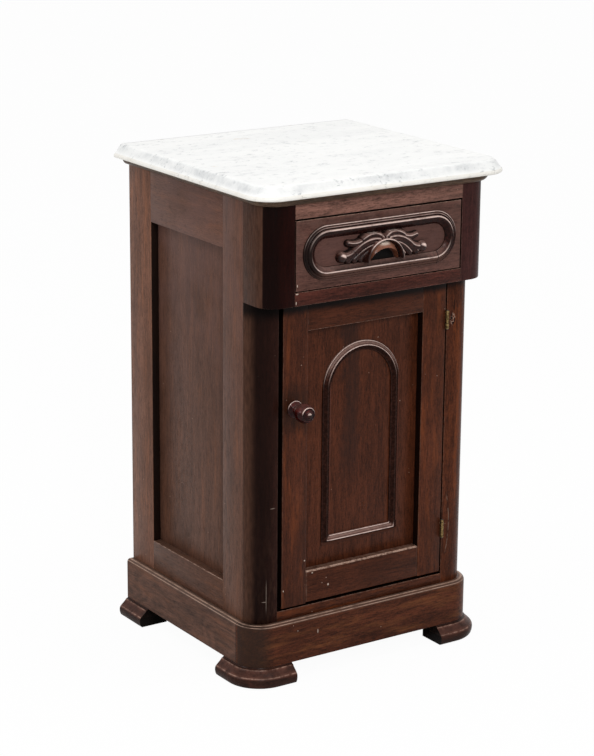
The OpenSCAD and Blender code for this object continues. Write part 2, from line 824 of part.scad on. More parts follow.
drawer_in_y = front_y + drawer_front_t;
bottom_z = drawer_side_z + drawer_bottom_lift;
bottom_groove = min(drawer_side_t / 2, 5);

module drawer_front() {
    color("#4a2822") difference() {
        translate([-drawer_half_w, front_y, drawer_z + drawer_gap])
            cube([2 * drawer_half_w, drawer_front_t, drawer_opening_h - 2 * drawer_gap]);
        bottom_slot();
        for (side = [-1, 1]) pull_screw(side, pull_screw_r, 0);
    }
}

// Slot that takes the drawer's bottom, open towards the back
module bottom_slot() {
    translate([-drawer_half_w + drawer_side_t - bottom_groove, drawer_in_y - bottom_groove, bottom_z])
        cube([2 * (drawer_half_w - drawer_side_t + bottom_groove), drawer_l, drawer_bottom_t]);
}

module drawer_side() {
    difference() {
        translate([drawer_half_w - drawer_side_t, drawer_in_y, drawer_side_z])
            cube([drawer_side_t, drawer_l - drawer_front_t, drawer_side_h]);
        bottom_slot();
    }
}

module drawer_left_side() { color("#9a7a5c") mirror([1, 0, 0]) drawer_side(); }
module drawer_right_side() { color("#9a7a5c") drawer_side(); }

module drawer_back() {
    z = bottom_z + drawer_bottom_t;
    x = drawer_half_w - drawer_side_t;
    color("#9a7a5c") translate([-x, drawer_back_y - drawer_side_t, z])
        cube([2 * x, drawer_side_t, drawer_side_z + drawer_side_h - 6 - z]);
}

module drawer_bottom() {
    x = drawer_half_w - drawer_side_t + bottom_groove - joint_play;
    y = drawer_in_y - bottom_groove + joint_play;
    color("#a08264") translate([-x, y, bottom_z]) cube([2 * x, drawer_back_y - y, drawer_bottom_t]);
}

module drawer_moulding() {
    section = strip_section(stadium_band, stadium_rise);
    r = stadium_h / 2;
    straight = stadium_w - stadium_h;
    color("#3c1c18") translate([0, front_y, moulding_z]) for (side = [0, 180]) rotate([0, side, 0]) {
        translate([straight / 2, 0, 0]) rotate([0, 90, 0]) strip_arch(section, r - stadium_band);
        translate([straight / 2, 0, r - stadium_band]) rotate([0, -90, 0]) strip_run(section, straight);
    }
}

// One screw of the pull, from inside the drawer; head is the height of its head
module pull_screw(side, r, head) {
    translate([side * pull_screw_pitch / 2, drawer_in_y + head, pull_z + pull_screw_rise])
        rotate([90, 0, 0]) {
            cylinder(r = r, h = drawer_front_t + head + pull_screw_in);
            cylinder(r = 2 * r, h = head);
        }
}

module pull_screws() {
    color("#6e5a34") for (side = [-1, 1]) pull_screw(side, pull_screw_r, 2);
}

// Outline of one spray of leaves, outwards from the middle of a pull of half width w and
// height h; the round part at its end is the ball's
function spray_outline(w, h) = [for (p = [
    [0, 0.76], [0, 0.9], [0.11, 0.98], [0.26, 1], [0.38, 0.92], [0.55, 0.75], [0.69, 0.68],
    [0.76, 0.7], [0.78, 0.57], [0.7, 0.49], [0.85, 0.39], [0.92, 0.22], [0.86, 0.06], [0.75, 0],
    [0.45, 0], [0.45, 0.22], [0.4, 0.47], [0.28, 0.67], [0.12, 0.75]]) [w * p[0], h * p[1]]];

// Carved pull: two sprays of leaves that end in balls, a rib, and a hollow lip for the fingers
module drawer_pull() {
    half = pull_w / 2;
    lip_y = pull_lip_r - pull_out;
    rib = [for (a = [0 : 30 : 330]) pull_rib_t * [cos(a) / 2, 0.7 + 0.83 * sin(a)]];
    color("#2e1814") translate([0, front_y, pull_z]) difference() {
        intersection() {
            union() {
                for (side = [0, 1]) mirror([side, 0, 0]) {
                    rotate([90, 0, 0]) linear_extrude(pull_leaf_out)
                        polygon(spray_outline(half, pull_h));
                    translate([half / 20, 0, pull_h / 8]) rotate([90, 0, 0])
                        linear_extrude(pull_leaf_top)
                            polygon(spray_outline(0.8 * half, 0.8 * pull_h));
                    translate([half - pull_ball_r, -pull_leaf_out / 2, pull_h / 4])
                        rotate([90, 0, 0]) sphere(pull_ball_r);
                }
                strip_arch(rib, pull_rib_r);
                translate([0, lip_y, pull_lip_t]) sphere(pull_lip_r);
            }
            translate([-pull_w, -2 * pull_out, 0]) cube([2 * pull_w, 2 * pull_out, 2 * pull_h]);
        }
        translate([0, lip_y, pull_lip_t / 2]) sphere(pull_lip_r - pull_lip_t);
        translate([0, eps, -pull_mouth_drop]) rotate([90, 0, 0])
            cylinder(r = pull_mouth_r, h = 2 * pull_out);
        for (side = [-1, 1]) translate([0, -front_y, -pull_z]) pull_screw(side, pull_screw_r, 0);
    }
}

marble_top();
sub_top();
left_front_stile();
left_back_stile();
left_top_rail();
left_bottom_rail();
left_side_panel();
right_front_stile();
right_back_stile();
right_top_rail();
right_bottom_rail();
right_side_panel();
left_corner_block();
right_corner_block();
latch_column();
hinge_column();
top_front_rail();
mid_front_rail();
bottom_front_rail();
back_boards();
cupboard_floor();
dust_board();
drawer_runners();
drawer_guides();
drawer_kickers();
plinth_front();
plinth_left();
plinth_right();
plinth_back();
foot_front_left();
foot_front_right();
foot_back_left();
foot_back_right();
glue_blocks();
hinge_frame_leaves();
hinge_pins();
hinge_frame_screws();
drawer_front();
drawer_left_side();
drawer_right_side();
drawer_back();
drawer_bottom();
drawer_moulding();
drawer_pull();
pull_screws();
door_latch_stile();
door_hinge_stile();
door_top_rail();
door_bottom_rail();
door_panel();
arch_moulding();
hinge_door_leaves();
hinge_door_screws();
door_knob();
knob_spindle();
turn_catch();
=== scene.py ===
"""Bedside pot cupboard: the finish of its marble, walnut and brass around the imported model.

Everything is in metres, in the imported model's own frame: +Z up, the front towards -Y.
"""

from contextlib import contextmanager
from math import cos, dist, pi, radians, sin

import bmesh
import bpy
import numpy as np
from bpy.props import FloatProperty, FloatVectorProperty, IntProperty, PointerProperty
from mathutils import Matrix, Vector


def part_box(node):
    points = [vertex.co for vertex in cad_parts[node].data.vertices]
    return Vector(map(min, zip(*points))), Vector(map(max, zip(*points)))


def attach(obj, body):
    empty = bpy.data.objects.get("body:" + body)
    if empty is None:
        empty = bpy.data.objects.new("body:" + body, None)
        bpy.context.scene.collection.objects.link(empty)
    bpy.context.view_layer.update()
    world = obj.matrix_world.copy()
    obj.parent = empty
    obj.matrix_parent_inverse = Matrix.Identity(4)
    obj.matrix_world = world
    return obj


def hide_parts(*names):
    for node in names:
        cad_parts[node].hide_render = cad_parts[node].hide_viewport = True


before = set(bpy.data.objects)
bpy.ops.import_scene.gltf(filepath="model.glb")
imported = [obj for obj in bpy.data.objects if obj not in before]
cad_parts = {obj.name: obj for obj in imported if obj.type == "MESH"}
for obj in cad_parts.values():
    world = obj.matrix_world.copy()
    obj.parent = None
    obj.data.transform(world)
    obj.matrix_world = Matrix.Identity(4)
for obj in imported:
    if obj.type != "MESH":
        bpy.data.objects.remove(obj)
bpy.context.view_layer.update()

bl_info = {
    "name": "Bedside pot cupboard",
    "version": (1, 0, 0),
    "blender": (4, 5, 0),
    "location": "3D View > Sidebar > Cupboard",
    "description": "Models and finishes a marble-topped bedside pot cupboard piece by piece",
    "category": "Object",
}

MM = 0.001


# ---------------------------------------------------------------- places and sizes

MARBLE_LOW, MARBLE_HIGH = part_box("marble_top")
SUB_TOP_LOW, SUB_TOP_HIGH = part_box("sub_top")
PLINTH_LOW, PLINTH_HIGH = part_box("plinth_front")
PULL_LOW, PULL_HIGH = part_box("drawer_pull")
COLUMN_LOW, COLUMN_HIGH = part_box("latch_column")
STADIUM_LOW, STADIUM_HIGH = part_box("drawer_moulding")
ARCH_LOW, ARCH_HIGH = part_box("arch_moulding")
KNOB_LOW, KNOB_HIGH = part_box("door_knob")
FRONT_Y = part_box("drawer_front")[0].y
LOWER_Y, STILE_Y = COLUMN_LOW.y, COLUMN_HIGH.y
BACK_Y = MARBLE_HIGH.y
HALF_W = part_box("right_back_stile")[1].x
STOREY_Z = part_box("hinge_column")[1].z  # underside of the drawer's storey
STADIUM_Z, STADIUM_R = (STADIUM_LOW.z + STADIUM_HIGH.z) / 2, (STADIUM_HIGH.z - STADIUM_LOW.z) / 2
STADIUM_REACH = STADIUM_HIGH.x - STADIUM_R  # middle of its round end
ARCH_X, ARCH_R = (ARCH_LOW.x + ARCH_HIGH.x) / 2, (ARCH_HIGH.x - ARCH_LOW.x) / 2
KNOB_X, KNOB_Z = (KNOB_LOW.x + KNOB_HIGH.x) / 2, (KNOB_LOW.z + KNOB_HIGH.z) / 2

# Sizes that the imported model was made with
WALL = 22 * MM
CORNER_R = STILE_Y - LOWER_Y
PLINTH_R = CORNER_R + 11 * MM
MARBLE_R = 42 * MM
FOOT_LEG, FOOT_FRONT, FOOT_SIDE, FOOT_BACK = 34 * MM, 73 * MM, 76 * MM, 64 * MM
STADIUM_BAND, ARCH_BAND = 19.5 * MM, 14.5 * MM


class CupboardSizes(bpy.types.PropertyGroup):
    """Sizes of the forms that the finish adds to the boards"""

    ease: FloatProperty(
        name="Arris", description="Width of the worn arrises", default=0.9 * MM, unit="LENGTH"
    )
    lip: FloatProperty(
        name="Marble lip", description="Height of the marble's round lip", default=6.4 * MM,
        unit="LENGTH",
    )
    slope: FloatProperty(
        name="Marble slope", description="Width of the marble's moulded slope",
        default=16 * MM, unit="LENGTH",
    )
    flare: FloatProperty(
        name="Foot flare", description="Flare of the feet beyond the plinth", default=15 * MM,
        unit="LENGTH",
    )
    facets: IntProperty(
        name="Arc steps", description="Steps in a quarter turn", default=14, min=4, max=40
    )


def srgb(r, g, b):
    """Linear colour from the 0-255 values that a colour picker shows"""
    return tuple(
        c / 12.92 if c <= 0.04045 else ((c + 0.055) / 1.055) ** 2.4
        for c in (r / 255, g / 255, b / 255)
    )


def colour(label, text, *rgb):
    return FloatVectorProperty(
        name=label, description=text, subtype="COLOR", size=3, min=0, max=1, default=srgb(*rgb)
    )


class CupboardFinish(bpy.types.PropertyGroup):
    """Colours of the finishes"""

    side_wood: colour("Side walnut", "Varnished walnut of the side frames", 83, 56, 44)
    side_glint: colour("Side streaks", "Warmer streaks in the side walnut", 123, 76, 50)
    front_wood: colour("Front walnut", "Redder walnut of the door and rails", 68, 34, 20)
    front_glint: colour("Front streaks", "Orange streaks in the front walnut", 122, 62, 30)
    dark_wood: colour("Dark walnut", "Almost black walnut of columns and mouldings", 27, 6, 4)
    # Worn wood is also the colour of the painted highlights on arrises that look up, on the
    # plinth's edge and on the feet
    worn_and_highlight_wood: colour("Worn wood", "Wood where the varnish has worn off", 190, 158, 140)
    raw_wood: colour("Raw wood", "Unvarnished wood inside the case", 146, 108, 74)
    marble: colour("Marble", "Ground of the marble", 243, 243, 241)
    vein: colour("Vein", "Veins of the marble", 196, 199, 201)
    brass: colour("Brass", "Tarnished brass", 172, 144, 96)


# ---------------------------------------------------------------- shader sheets


class Wire:
    """A socket of a material, which Python's operators join with Math nodes"""

    def __init__(self, sheet, socket):
        self.sheet, self.socket = sheet, socket

    def maths(self, operation, *values):
        return self.sheet.node("ShaderNodeMath", {"operation": operation}, *values)

    def __add__(self, other):
        return self.maths("ADD", self, other)

    def __sub__(self, other):
        return self.maths("SUBTRACT", self, other)

    def __rsub__(self, other):
        return self.maths("SUBTRACT", other, self)

    def __mul__(self, other):
        return self.maths("MULTIPLY", self, other)

    def __truediv__(self, other):
        return self.maths("DIVIDE", self, other)

    __radd__ = __add__
    __rmul__ = __mul__

    def step(self, low, high):
        """0 at low and 1 at high, which may lie below it, and smooth between them"""
        settings = {"interpolation_type": "SMOOTHSTEP"}
        return self.sheet.node("ShaderNodeMapRange", settings, self, low, high)

    def size(self):
        return self.maths("ABSOLUTE", self)

    def most(self, other):
        return self.maths("MAXIMUM", self, other)

    def wave(self):
        return self.maths("SINE", self)


class Sheet:
    """Node sheet of one material. base and rough are built up in steps, and finish feeds them
    to the Principled shader."""

    def __init__(self, name):
        self.material = bpy.data.materials.new(name)
        self.material.use_nodes = True
        self.tree = self.material.node_tree
        self.shader = self.tree.nodes["Principled BSDF"]
        self.place = self.node("ShaderNodeTexCoord", {}, output="Object")
        self.x, self.y, self.z = self.parts(self.place)
        self.colours = bpy.context.scene.cupboard_finish
        self.base = self.rough = None

    def node(self, kind, settings, *values, output=0, **named):
        """Adds a node, sets it up, feeds its sockets and returns one of its outputs"""
        node = self.tree.nodes.new(kind)
        for key, value in settings.items():
            setattr(node, key, value)
        for socket, value in list(enumerate(values)) + list(named.items()):
            key = socket.replace("_", " ") if isinstance(socket, str) else socket
            self.feed(node.inputs[key], value)
        return Wire(self, node.outputs[output])

    def feed(self, socket, value):
        if isinstance(value, Wire):
            self.tree.links.new(value.socket, socket)
        else:
            if socket.type == "RGBA" and len(value) == 3:
                value = (*value, 1)
            socket.default_value = value

    def mapped(self, turn=(0, 0, 0), shift=(0, 0, 0), scale=(1, 1, 1), source=None):
        return self.node("ShaderNodeMapping", {}, source or self.place, shift, turn, scale)

    def noise(self, place, scale, detail=2, rough=0.5, stretch=None):
        if stretch:
            place = self.mapped(scale=stretch, source=place)
        return self.node("ShaderNodeTexNoise", {}, Vector=place, Scale=scale, Detail=detail,
                         Roughness=rough)

    def mix(self, share, first, second):
        node = self.tree.nodes.new("ShaderNodeMix")
        node.data_type = "RGBA"
        for socket, value in zip((0, 6, 7), (share, first, second)):
            self.feed(node.inputs[socket], value)
        return Wire(self, node.outputs[2])

    def over(self, share, tone):
        """Lays a colour over the base"""
        self.base = self.mix(share, self.base, tone)

    def parts(self, vector):
        node = self.tree.nodes.new("ShaderNodeSeparateXYZ")
        self.feed(node.inputs[0], vector)
        return [Wire(self, output) for output in node.outputs]

    def oval(self, x, z, half_width, half_height):
        """0 in the middle of an oval on the front and 1 on its edge. Its sizes are in mm."""
        across = (self.x - x * MM) / (half_width * MM)
        up = (self.z - z * MM) / (half_height * MM)
        return across * across + up * up

    def ramp(self, share, *stops):
        node = self.tree.nodes.new("ShaderNodeValToRGB")
        line = node.color_ramp
        while len(line.elements) < len(stops):
            line.elements.new(0.5)
        for element, (place, tone) in zip(line.elements, stops):
            element.position = place
            element.color = (*tone, 1)
        self.feed(node.inputs[0], share)
        return Wire(self, node.outputs[0])

    def painted(self, name):
        """A number painted on the mesh as an attribute"""
        return self.node("ShaderNodeAttribute", {"attribute_name": name}, output="Fac")

    def bump(self, height, distance, strength=1.0):
        self.feed(
            self.shader.inputs["Normal"],
            self.node("ShaderNodeBump", {}, Height=height, Distance=distance, Strength=strength),
        )

    def finish(self, **fixed):
        self.feed(self.shader.inputs["Base Color"], self.base)
        self.feed(self.shader.inputs["Roughness"], self.rough)
        for key, value in fixed.items():
            self.feed(self.shader.inputs[key.replace("_", " ")], value)
        return self.material


# ---------------------------------------------------------------- materials

SHADOW = (0.0022, 0.0012, 0.001)
GRAIN_TURN = {"Z": (0, 0, 0), "X": (0, radians(90), 0), "Y": (radians(90), 0, 0)}


def toned(rgb, share):
    return tuple(c * share for c in rgb)


def walnut(name, grain, tone, seed, glint=None, figure=0.4, gloss=0.3, shine=0.08, marks=None,
           depth=0.8):
    """Old varnished walnut: streaks, fibres and pores along the grain, grime, flecks, worn
    arrises with a painted highlight where they look up, and painted shade on the faces marked for
    it. marks(sheet) paints what one piece alone shows, depth is the strength of its grain."""
    sheet = Sheet(name)
    board = sheet.mapped(GRAIN_TURN[grain], (0.37 * seed, 0.73 * seed, 0.59 * seed))
    broad = sheet.noise(board, 50, 3, 0.55, stretch=(1, 1, 0.08))
    streaks = sheet.noise(board, 260, 3, 0.6, stretch=(1, 1, 0.07))
    fibres = sheet.noise(board, 640, 2, 0.6, stretch=(1, 1, 0.14))
    specks = sheet.noise(board, 480, 2, 0.6, stretch=(1, 1, 0.7))
    sway = sheet.noise(board, 7, 3, stretch=(1, 1, 0.4))
    across, beside, _ = sheet.parts(board)
    flame = ((across + beside * 0.35) * 900 + sway * 150).wave()
    shade = (broad * 0.3 + streaks * 0.26 + fibres * 0.28 + specks * 0.26
             + flame * (0.022 * figure) - 0.55) * depth + 0.55
    sheet.base = sheet.ramp(shade, (0.46, toned(tone, 0.45)), (0.55, tone),
                            (0.66, toned(tone, 1.8)))
    warm = sheet.noise(sheet.mapped(shift=(seed, 0, 0), source=board), 90, 4, 0.65,
                       stretch=(1, 1, 0.12))
    sheet.over(warm.step(0.48, 0.7) * (0.6 * depth), glint or sheet.colours.front_glint)
    pores = fibres.step(0.45, 0.34)
    sheet.over(pores * (0.55 * depth), toned(tone, 0.25))
    grime = sheet.noise(sheet.place, 11 + seed % 3, 5, 0.65)
    sheet.over(grime.step(0.48, 0.72) * 0.45, toned(tone, 0.5))
    dots = sheet.node("ShaderNodeTexVoronoi", {}, output="Distance", Vector=sheet.place, Scale=95)
    few = sheet.noise(sheet.place, 23, 1).step(0.62, 0.66)
    sheet.over((1 - dots.step(0.03, 0.09)) * few * 0.8, sheet.colours.worn_and_highlight_wood)
    # Arrises: wear, with a painted highlight that is strongest where they look up
    chips = sheet.noise(sheet.place, 150, 4, 0.7).step(0.38, 0.6)
    arris = sheet.painted("arris") * (chips * 0.75 + 0.25)
    sheet.over(arris, sheet.colours.worn_and_highlight_wood)
    sheet.rough = gloss + grime * 0.2 + pores * 0.1 + arris * 0.15 - 0.1
    if marks:
        marks(sheet)
    # Painted shade on the faces that look into a recess or a gap
    sheet.over(sheet.painted("hollow") * 0.95, SHADOW)
    sheet.bump(fibres * 0.5 + streaks * 0.6 - pores * 0.8, 0.2 * MM, 0.4)
    return sheet.finish(Specular_IOR_Level=shine)


def moulded_walnut(name, tone, seed, gloss=0.18, shine=0.06, pale=0.7, marks=None, sheen=0.7):
    """Dark polished moulding: painted shade in the quirks, flanks painted pale where they catch
    the light from above, and a painted highlight in a thin pale line along the crests. sheen is
    how far a flank looks up where it is palest."""
    sheet = Sheet(name)
    crest = sheet.painted("crest")
    lit = sheet.painted("lit")
    place = sheet.mapped(shift=(seed, 0, 0))
    streaks = sheet.noise(place, 260, 3, 0.65)
    mottling = sheet.noise(place, 55, 4, 0.65)
    sheet.base = sheet.ramp(streaks, (0.36, toned(tone, 0.5)), (0.5, tone),
                            (0.64, toned(tone, 2.0)))
    # Painted light on the flanks that look up
    flank = lit.step(0.08, sheen) * (mottling * 0.7 + streaks * 0.6)
    sheet.over(flank * pale, srgb(146, 117, 108))
    # Painted shade in the quirks, where the section is least pale
    quirk = 1 - crest.step(0.0, 0.25) * (lit.step(0.0, 0.3) * 0.7 + 0.3)
    sheet.over(quirk * 0.93, SHADOW)
    # Painted highlight: a thin pale line on the crests, brightest where they look up
    line = crest.step(0.78, 0.98) * (lit.step(0.0, 0.35) * 0.94 + 0.012)
    sheet.over(line * (mottling.step(0.3, 0.55) * 0.5 + 0.5), srgb(226, 200, 190))
    sheet.rough = gloss + mottling * 0.2 - 0.06
    if marks:
        marks(sheet)
    sheet.bump(streaks, 0.15 * MM, 0.3)
    return sheet.finish(Specular_IOR_Level=shine)


def raw_wood(name, grain, seed):
    """Planed wood that was never varnished, grey with age"""
    sheet = Sheet(name)
    tone = tuple(sheet.colours.raw_wood)
    board = sheet.mapped(GRAIN_TURN[grain], (0.41 * seed, 0.67 * seed, 0.53 * seed))
    streaks = sheet.noise(board, 48, 4, 0.6, stretch=(1, 1, 0.03))
    fibres = sheet.noise(board, 420, 3, 0.6, stretch=(1, 1, 0.02))
    sheet.base = sheet.ramp(streaks * 0.7 + fibres * 0.3, (0.3, toned(tone, 0.5)), (0.5, tone),
                            (0.7, toned(tone, 1.3)))
    stain = sheet.noise(sheet.place, 9, 4, 0.6)
    sheet.over(stain.step(0.5, 0.8) * 0.5, toned(tone, 0.4))
    sheet.rough = 0.62 + stain * 0.2
    sheet.bump(fibres + streaks, 0.2 * MM, 0.5)
    return sheet.finish()


def marble_stone(name):
    """White marble: faint grey veins, a soft grey band along its slope and a few stains"""
    sheet = Sheet(name)
    vein = sheet.colours.vein
    bent = sheet.node("ShaderNodeTexNoise", {}, output="Color", Vector=sheet.place, Scale=9,
                      Detail=4)
    bend = sheet.node("ShaderNodeVectorMath", {"operation": "SCALE"}, bent, Scale=0.07)
    place = sheet.node("ShaderNodeVectorMath", {"operation": "ADD"},
                       sheet.mapped((0, 0, radians(-28)), scale=(0.45, 2.4, 1)), bend)
    veins = 1 - (sheet.noise(place, 14, 5, 0.65) - 0.5).size().step(0.0, 0.018)
    fine = 1 - (sheet.noise(place, 48, 4, 0.65) - 0.5).size().step(0.0, 0.03)
    cloud = sheet.noise(place, 8, 5, 0.65)
    broken = sheet.noise(sheet.place, 70, 3, 0.65).step(0.48, 0.62)
    where = cloud.step(0.42, 0.62)
    sheet.base = sheet.mix(where * 0.12, sheet.colours.marble, vein)
    sheet.over(veins * broken * 0.75, toned(vein, 0.7))
    sheet.over(fine * broken * (where * 0.4 + 0.1), toned(vein, 0.75))
    stain = sheet.noise(sheet.place, 16, 3, 0.6).step(0.68, 0.74)
    sheet.over(stain * broken * 0.5, srgb(206, 184, 158))
    slope = sheet.painted("slope")
    mottle = sheet.noise(sheet.place, 48, 5, 0.7)
    patches = sheet.noise(sheet.place, 14, 3, 0.6).step(0.36, 0.66)
    grey = slope * (mottle.step(0.34, 0.7) * 0.5 + 0.35) * (patches * 0.6 + 0.4)
    sheet.over(grey, toned(vein, 0.86))
    pits = sheet.noise(sheet.place, 260, 3, 0.6).step(0.63, 0.7) * patches * slope
    sheet.over(pits * 0.6, srgb(120, 118, 112))
    sheet.over(sheet.painted("lip") * (mottle * 0.7 + 0.05), srgb(212, 204, 188))
    sheet.rough = 0.24 + cloud * 0.14 + slope * 0.1
    sheet.bump(mottle, 0.15 * MM, 0.25)
    return sheet.finish(Specular_IOR_Level=0.35)


def old_brass(name, seed):
    """Brass gone brown, still bright where it rubs, with a painted highlight on the arrises that
    look up
    """
    sheet = Sheet(name)
    brass = sheet.colours.brass
    tarnish = sheet.noise(sheet.mapped(shift=(seed, 0, 0)), 260, 4, 0.65).step(0.38, 0.62)
    sheet.base = sheet.mix(tarnish, toned(brass, 0.7), toned(brass, 0.22))
    # Arrises brighter: wear, with a painted highlight where they look up
    sheet.over(sheet.painted("arris") * 0.5, toned(brass, 1.2))
    sheet.rough = 0.34 + tarnish * 0.3
    return sheet.finish(Metallic=1.0)


def steel(name):
    sheet = Sheet(name)
    rust = sheet.noise(sheet.place, 400, 3, 0.6)
    sheet.base = sheet.mix(rust.step(0.4, 0.7), srgb(120, 112, 104), srgb(70, 48, 36))
    sheet.rough = 0.4 + rust * 0.3
    return sheet.finish(Metallic=0.8)


# ---------------------------------------------------------------- modelling helpers


def deselect():
    if bpy.context.object and bpy.context.object.mode != "OBJECT":
        bpy.ops.object.mode_set(mode="OBJECT")
    bpy.ops.object.select_all(action="DESELECT")


def pick(piece):
    deselect()
    piece.select_set(True)
    bpy.context.view_layer.objects.active = piece


@contextmanager
def edit_mode():
    """Edit mode of the active piece, with all of it selected"""
    bpy.ops.object.mode_set(mode="EDIT")
    bpy.ops.mesh.select_all(action="SELECT")
    yield
    bpy.ops.object.mode_set(mode="OBJECT")


def named(piece, name):
    piece.name = name
    piece.data.name = name
    return piece


def tidy_skin(piece, merge=0.0):
    """Merges doubles where asked and turns every face outwards"""
    pick(piece)
    with edit_mode():
        if merge:
            bpy.ops.mesh.remove_doubles(threshold=merge)
        bpy.ops.mesh.normals_make_consistent(inside=False)


def paint(piece, name, values, domain="POINT"):
    """Paints a number on each point or face, as a material reads it"""
    values = [float(value) for value in values]
    piece.data.attributes.new(name, "FLOAT", domain).data.foreach_set("value", values)


def paint_lit(piece, right=0.04):
    """Paints how far each point looks up, and a little to the right, where the gloss shone"""
    paint(piece, "lit", (max(0, 0.85 * v.normal.z + right * v.normal.x)
                         for v in piece.data.vertices))


def loft(name, rings, crest=None, closed=False):
    """Skin through rings of points, which all have the same count. The two ends are capped,
    or joined where the last ring is the first. crest holds a number for each point of a ring."""
    count = len(rings[0])
    deselect()
    bpy.ops.mesh.primitive_circle_add(vertices=count, fill_type="NGON")
    piece = named(bpy.context.object, name)
    mesh = piece.data
    mesh.attributes.new("order", "INT", "POINT").data.foreach_set("value", range(count))
    if crest:
        paint(piece, "crest", crest)
    for vertex, point in zip(mesh.vertices, rings[0]):
        vertex.co = point
    with edit_mode():
        for ring in rings[1:]:
            bpy.ops.mesh.extrude_region_move()
            form = bmesh.from_edit_mesh(mesh)
            layer = form.verts.layers.int["order"]
            for vertex in [v for v in form.verts if v.select]:
                vertex.co = ring[vertex[layer]]
            bmesh.update_edit_mesh(mesh)
        if closed:
            form = bmesh.from_edit_mesh(mesh)
            ends = [f for f in form.faces if len(f.verts) == count and count != 4]
            bmesh.ops.delete(form, geom=ends, context="FACES_ONLY")
            bmesh.update_edit_mesh(mesh)
    mesh.attributes.remove(mesh.attributes["order"])
    tidy_skin(piece, 1e-6 if closed else 0.0)
    paint_lit(piece)
    return piece


def ease(piece, width, wear_and_gleam=1.0, drop=0.0, ledge=0.0):
    """Rounds the sharp edges and paints them pale, as wear with a painted highlight: most where
    they look up, and by drop where they look down. ledge is the painted light on the face that
    looks straight up."""
    pick(piece)
    worn = bpy.data.materials.new("worn")
    while len(piece.data.materials) < 2:
        piece.data.materials.append(worn)
    bevel = piece.modifiers.new("Arris", "BEVEL")
    bevel.width = width
    bevel.segments = 2
    bevel.limit_method = "ANGLE"
    bevel.angle_limit = radians(32)
    bevel.material = 1
    bpy.ops.object.modifier_apply(modifier=bevel.name)

    # Paleness of an arris: wear plus a painted highlight from above that grows as it looks up;
    # ledge puts painted light on upward faces
    def worn_and_lit_share(face):
        up = face.normal.z
        share = wear_and_gleam * (0.07 + 0.93 * up) if up > -0.1 else -up * drop
        return share if face.material_index == 1 else ledge * (up > 0.95)

    paint(piece, "arris", map(worn_and_lit_share, piece.data.polygons), "FACE")
    for face in piece.data.polygons:
        face.material_index = 0
    piece.data.materials.clear()
    bpy.data.materials.remove(worn)


def smooth(piece, angle=34):
    pick(piece)
    bpy.ops.object.shade_smooth_by_angle(angle=radians(angle))
    return piece


def shade_hollows(piece, *sides):
    """Marks the faces that look to these sides, such as "+Z", for painted shade, as walls of a
    recess
    """
    def inside(face):
        return any(face.normal["XYZ".index(axis)] * (1 if sign == "+" else -1) > 0.95
                   for sign, axis in sides)

    paint(piece, "hollow", map(inside, piece.data.polygons), "FACE")


def board(name, low, high, width=None, wear_and_gleam=1.0, drop=0.0, hollow=(), ledge=0.0):
    """Board between two corners, with worn arrises that carry a painted highlight, and painted
    shade on the faces that look to the given sides
    """
    low, high = Vector(low), Vector(high)
    deselect()
    bpy.ops.mesh.primitive_cube_add(size=1, location=(low + high) / 2, scale=high - low)
    piece = named(bpy.context.object, name)
    bpy.ops.object.transform_apply(location=True, rotation=True, scale=True)
    ease(piece, width or bpy.context.scene.cupboard_sizes.ease, wear_and_gleam, drop, ledge)
    shade_hollows(piece, *hollow)
    return smooth(piece)


def copied(node, width, name, wear_and_gleam=1.0, drop=0.0):
    """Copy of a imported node, merged and cleaned, with its edges eased"""
    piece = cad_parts[node].copy()
    piece.data = piece.data.copy()
    for key in list(piece.keys()):
        del piece[key]
    piece.parent = None
    named(piece, name)
    bpy.context.scene.collection.objects.link(piece)
    piece.data.materials.clear()
    pick(piece)
    bpy.ops.mesh.customdata_custom_splitnormals_clear()
    with edit_mode():
        bpy.ops.mesh.remove_doubles(threshold=1e-6)
        bpy.ops.mesh.dissolve_limited(angle_limit=radians(0.5))
    ease(piece, width, wear_and_gleam, drop)
    return smooth(piece)


def mount(piece, body, material, node):
    """Gives a finished piece its material and its place in the frame"""
    piece.data.materials.clear()
    piece.data.materials.append(material)
    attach(piece, body)
    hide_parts(node)


def varnished(piece, node, grain, tone, seed, *look, body="case", slot="walnut", **more):
    """Mounts a piece in walnut. What follows the seed is as in walnut."""
    mount(piece, body, walnut(node + "_walnut", grain, tone, seed, *look, **more), node)


def raw_boards(body, width, seed, **grains):
    """Copies of unvarnished boards, each with the axis of its grain"""
    for seed, (node, grain) in enumerate(grains.items(), seed):
        piece = copied(node, width, node + "_raw")
        mount(piece, body, raw_wood(node + "_wood", grain, seed), node)


def brass_copy(node, body, width):
    """Copy of a brass fitting"""
    piece = copied(node, width, node + "_brass")
    mount(piece, body, old_brass(node + "_finish", len(node)), node)


def paint_node(node, material):
    """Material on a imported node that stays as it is"""
    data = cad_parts[node].data
    data.materials.clear()
    data.materials.append(material)


def arc(centre, radius, start, end, steps):
    """Points on an arc, angles in degrees"""
    for i in range(steps + 1):
        a = radians(start + (end - start) * i / steps)
        yield centre[0] + radius * cos(a), centre[1] + radius * sin(a)


def slab(name, profile, half, front, radius, foot):
    """Slab with round front corners and a square back, whose front and sides carry a profile
    of (out, up) points, from foot upwards"""
    steps = bpy.context.scene.cupboard_sizes.facets
    rings = []
    for out, up in profile:
        w, r, f = half + out, radius + out, front - out
        outline = [(-w, BACK_Y), *arc((-w + r, f + r), r, 180, 270, steps),
                   *arc((w - r, f + r), r, 270, 360, steps), (w, BACK_Y)]
        rings.append([(x, y, foot + up) for x, y in outline])
    return loft(name, rings)


# ---------------------------------------------------------------- marks of single pieces


def under_shadow(sheet, deep=12 * MM, soft=13 * MM):
    """Dark under the overhang of the drawer's storey"""
    sheet.over(sheet.z.step(STOREY_Z - deep - soft, STOREY_Z - deep) * 0.94, SHADOW)


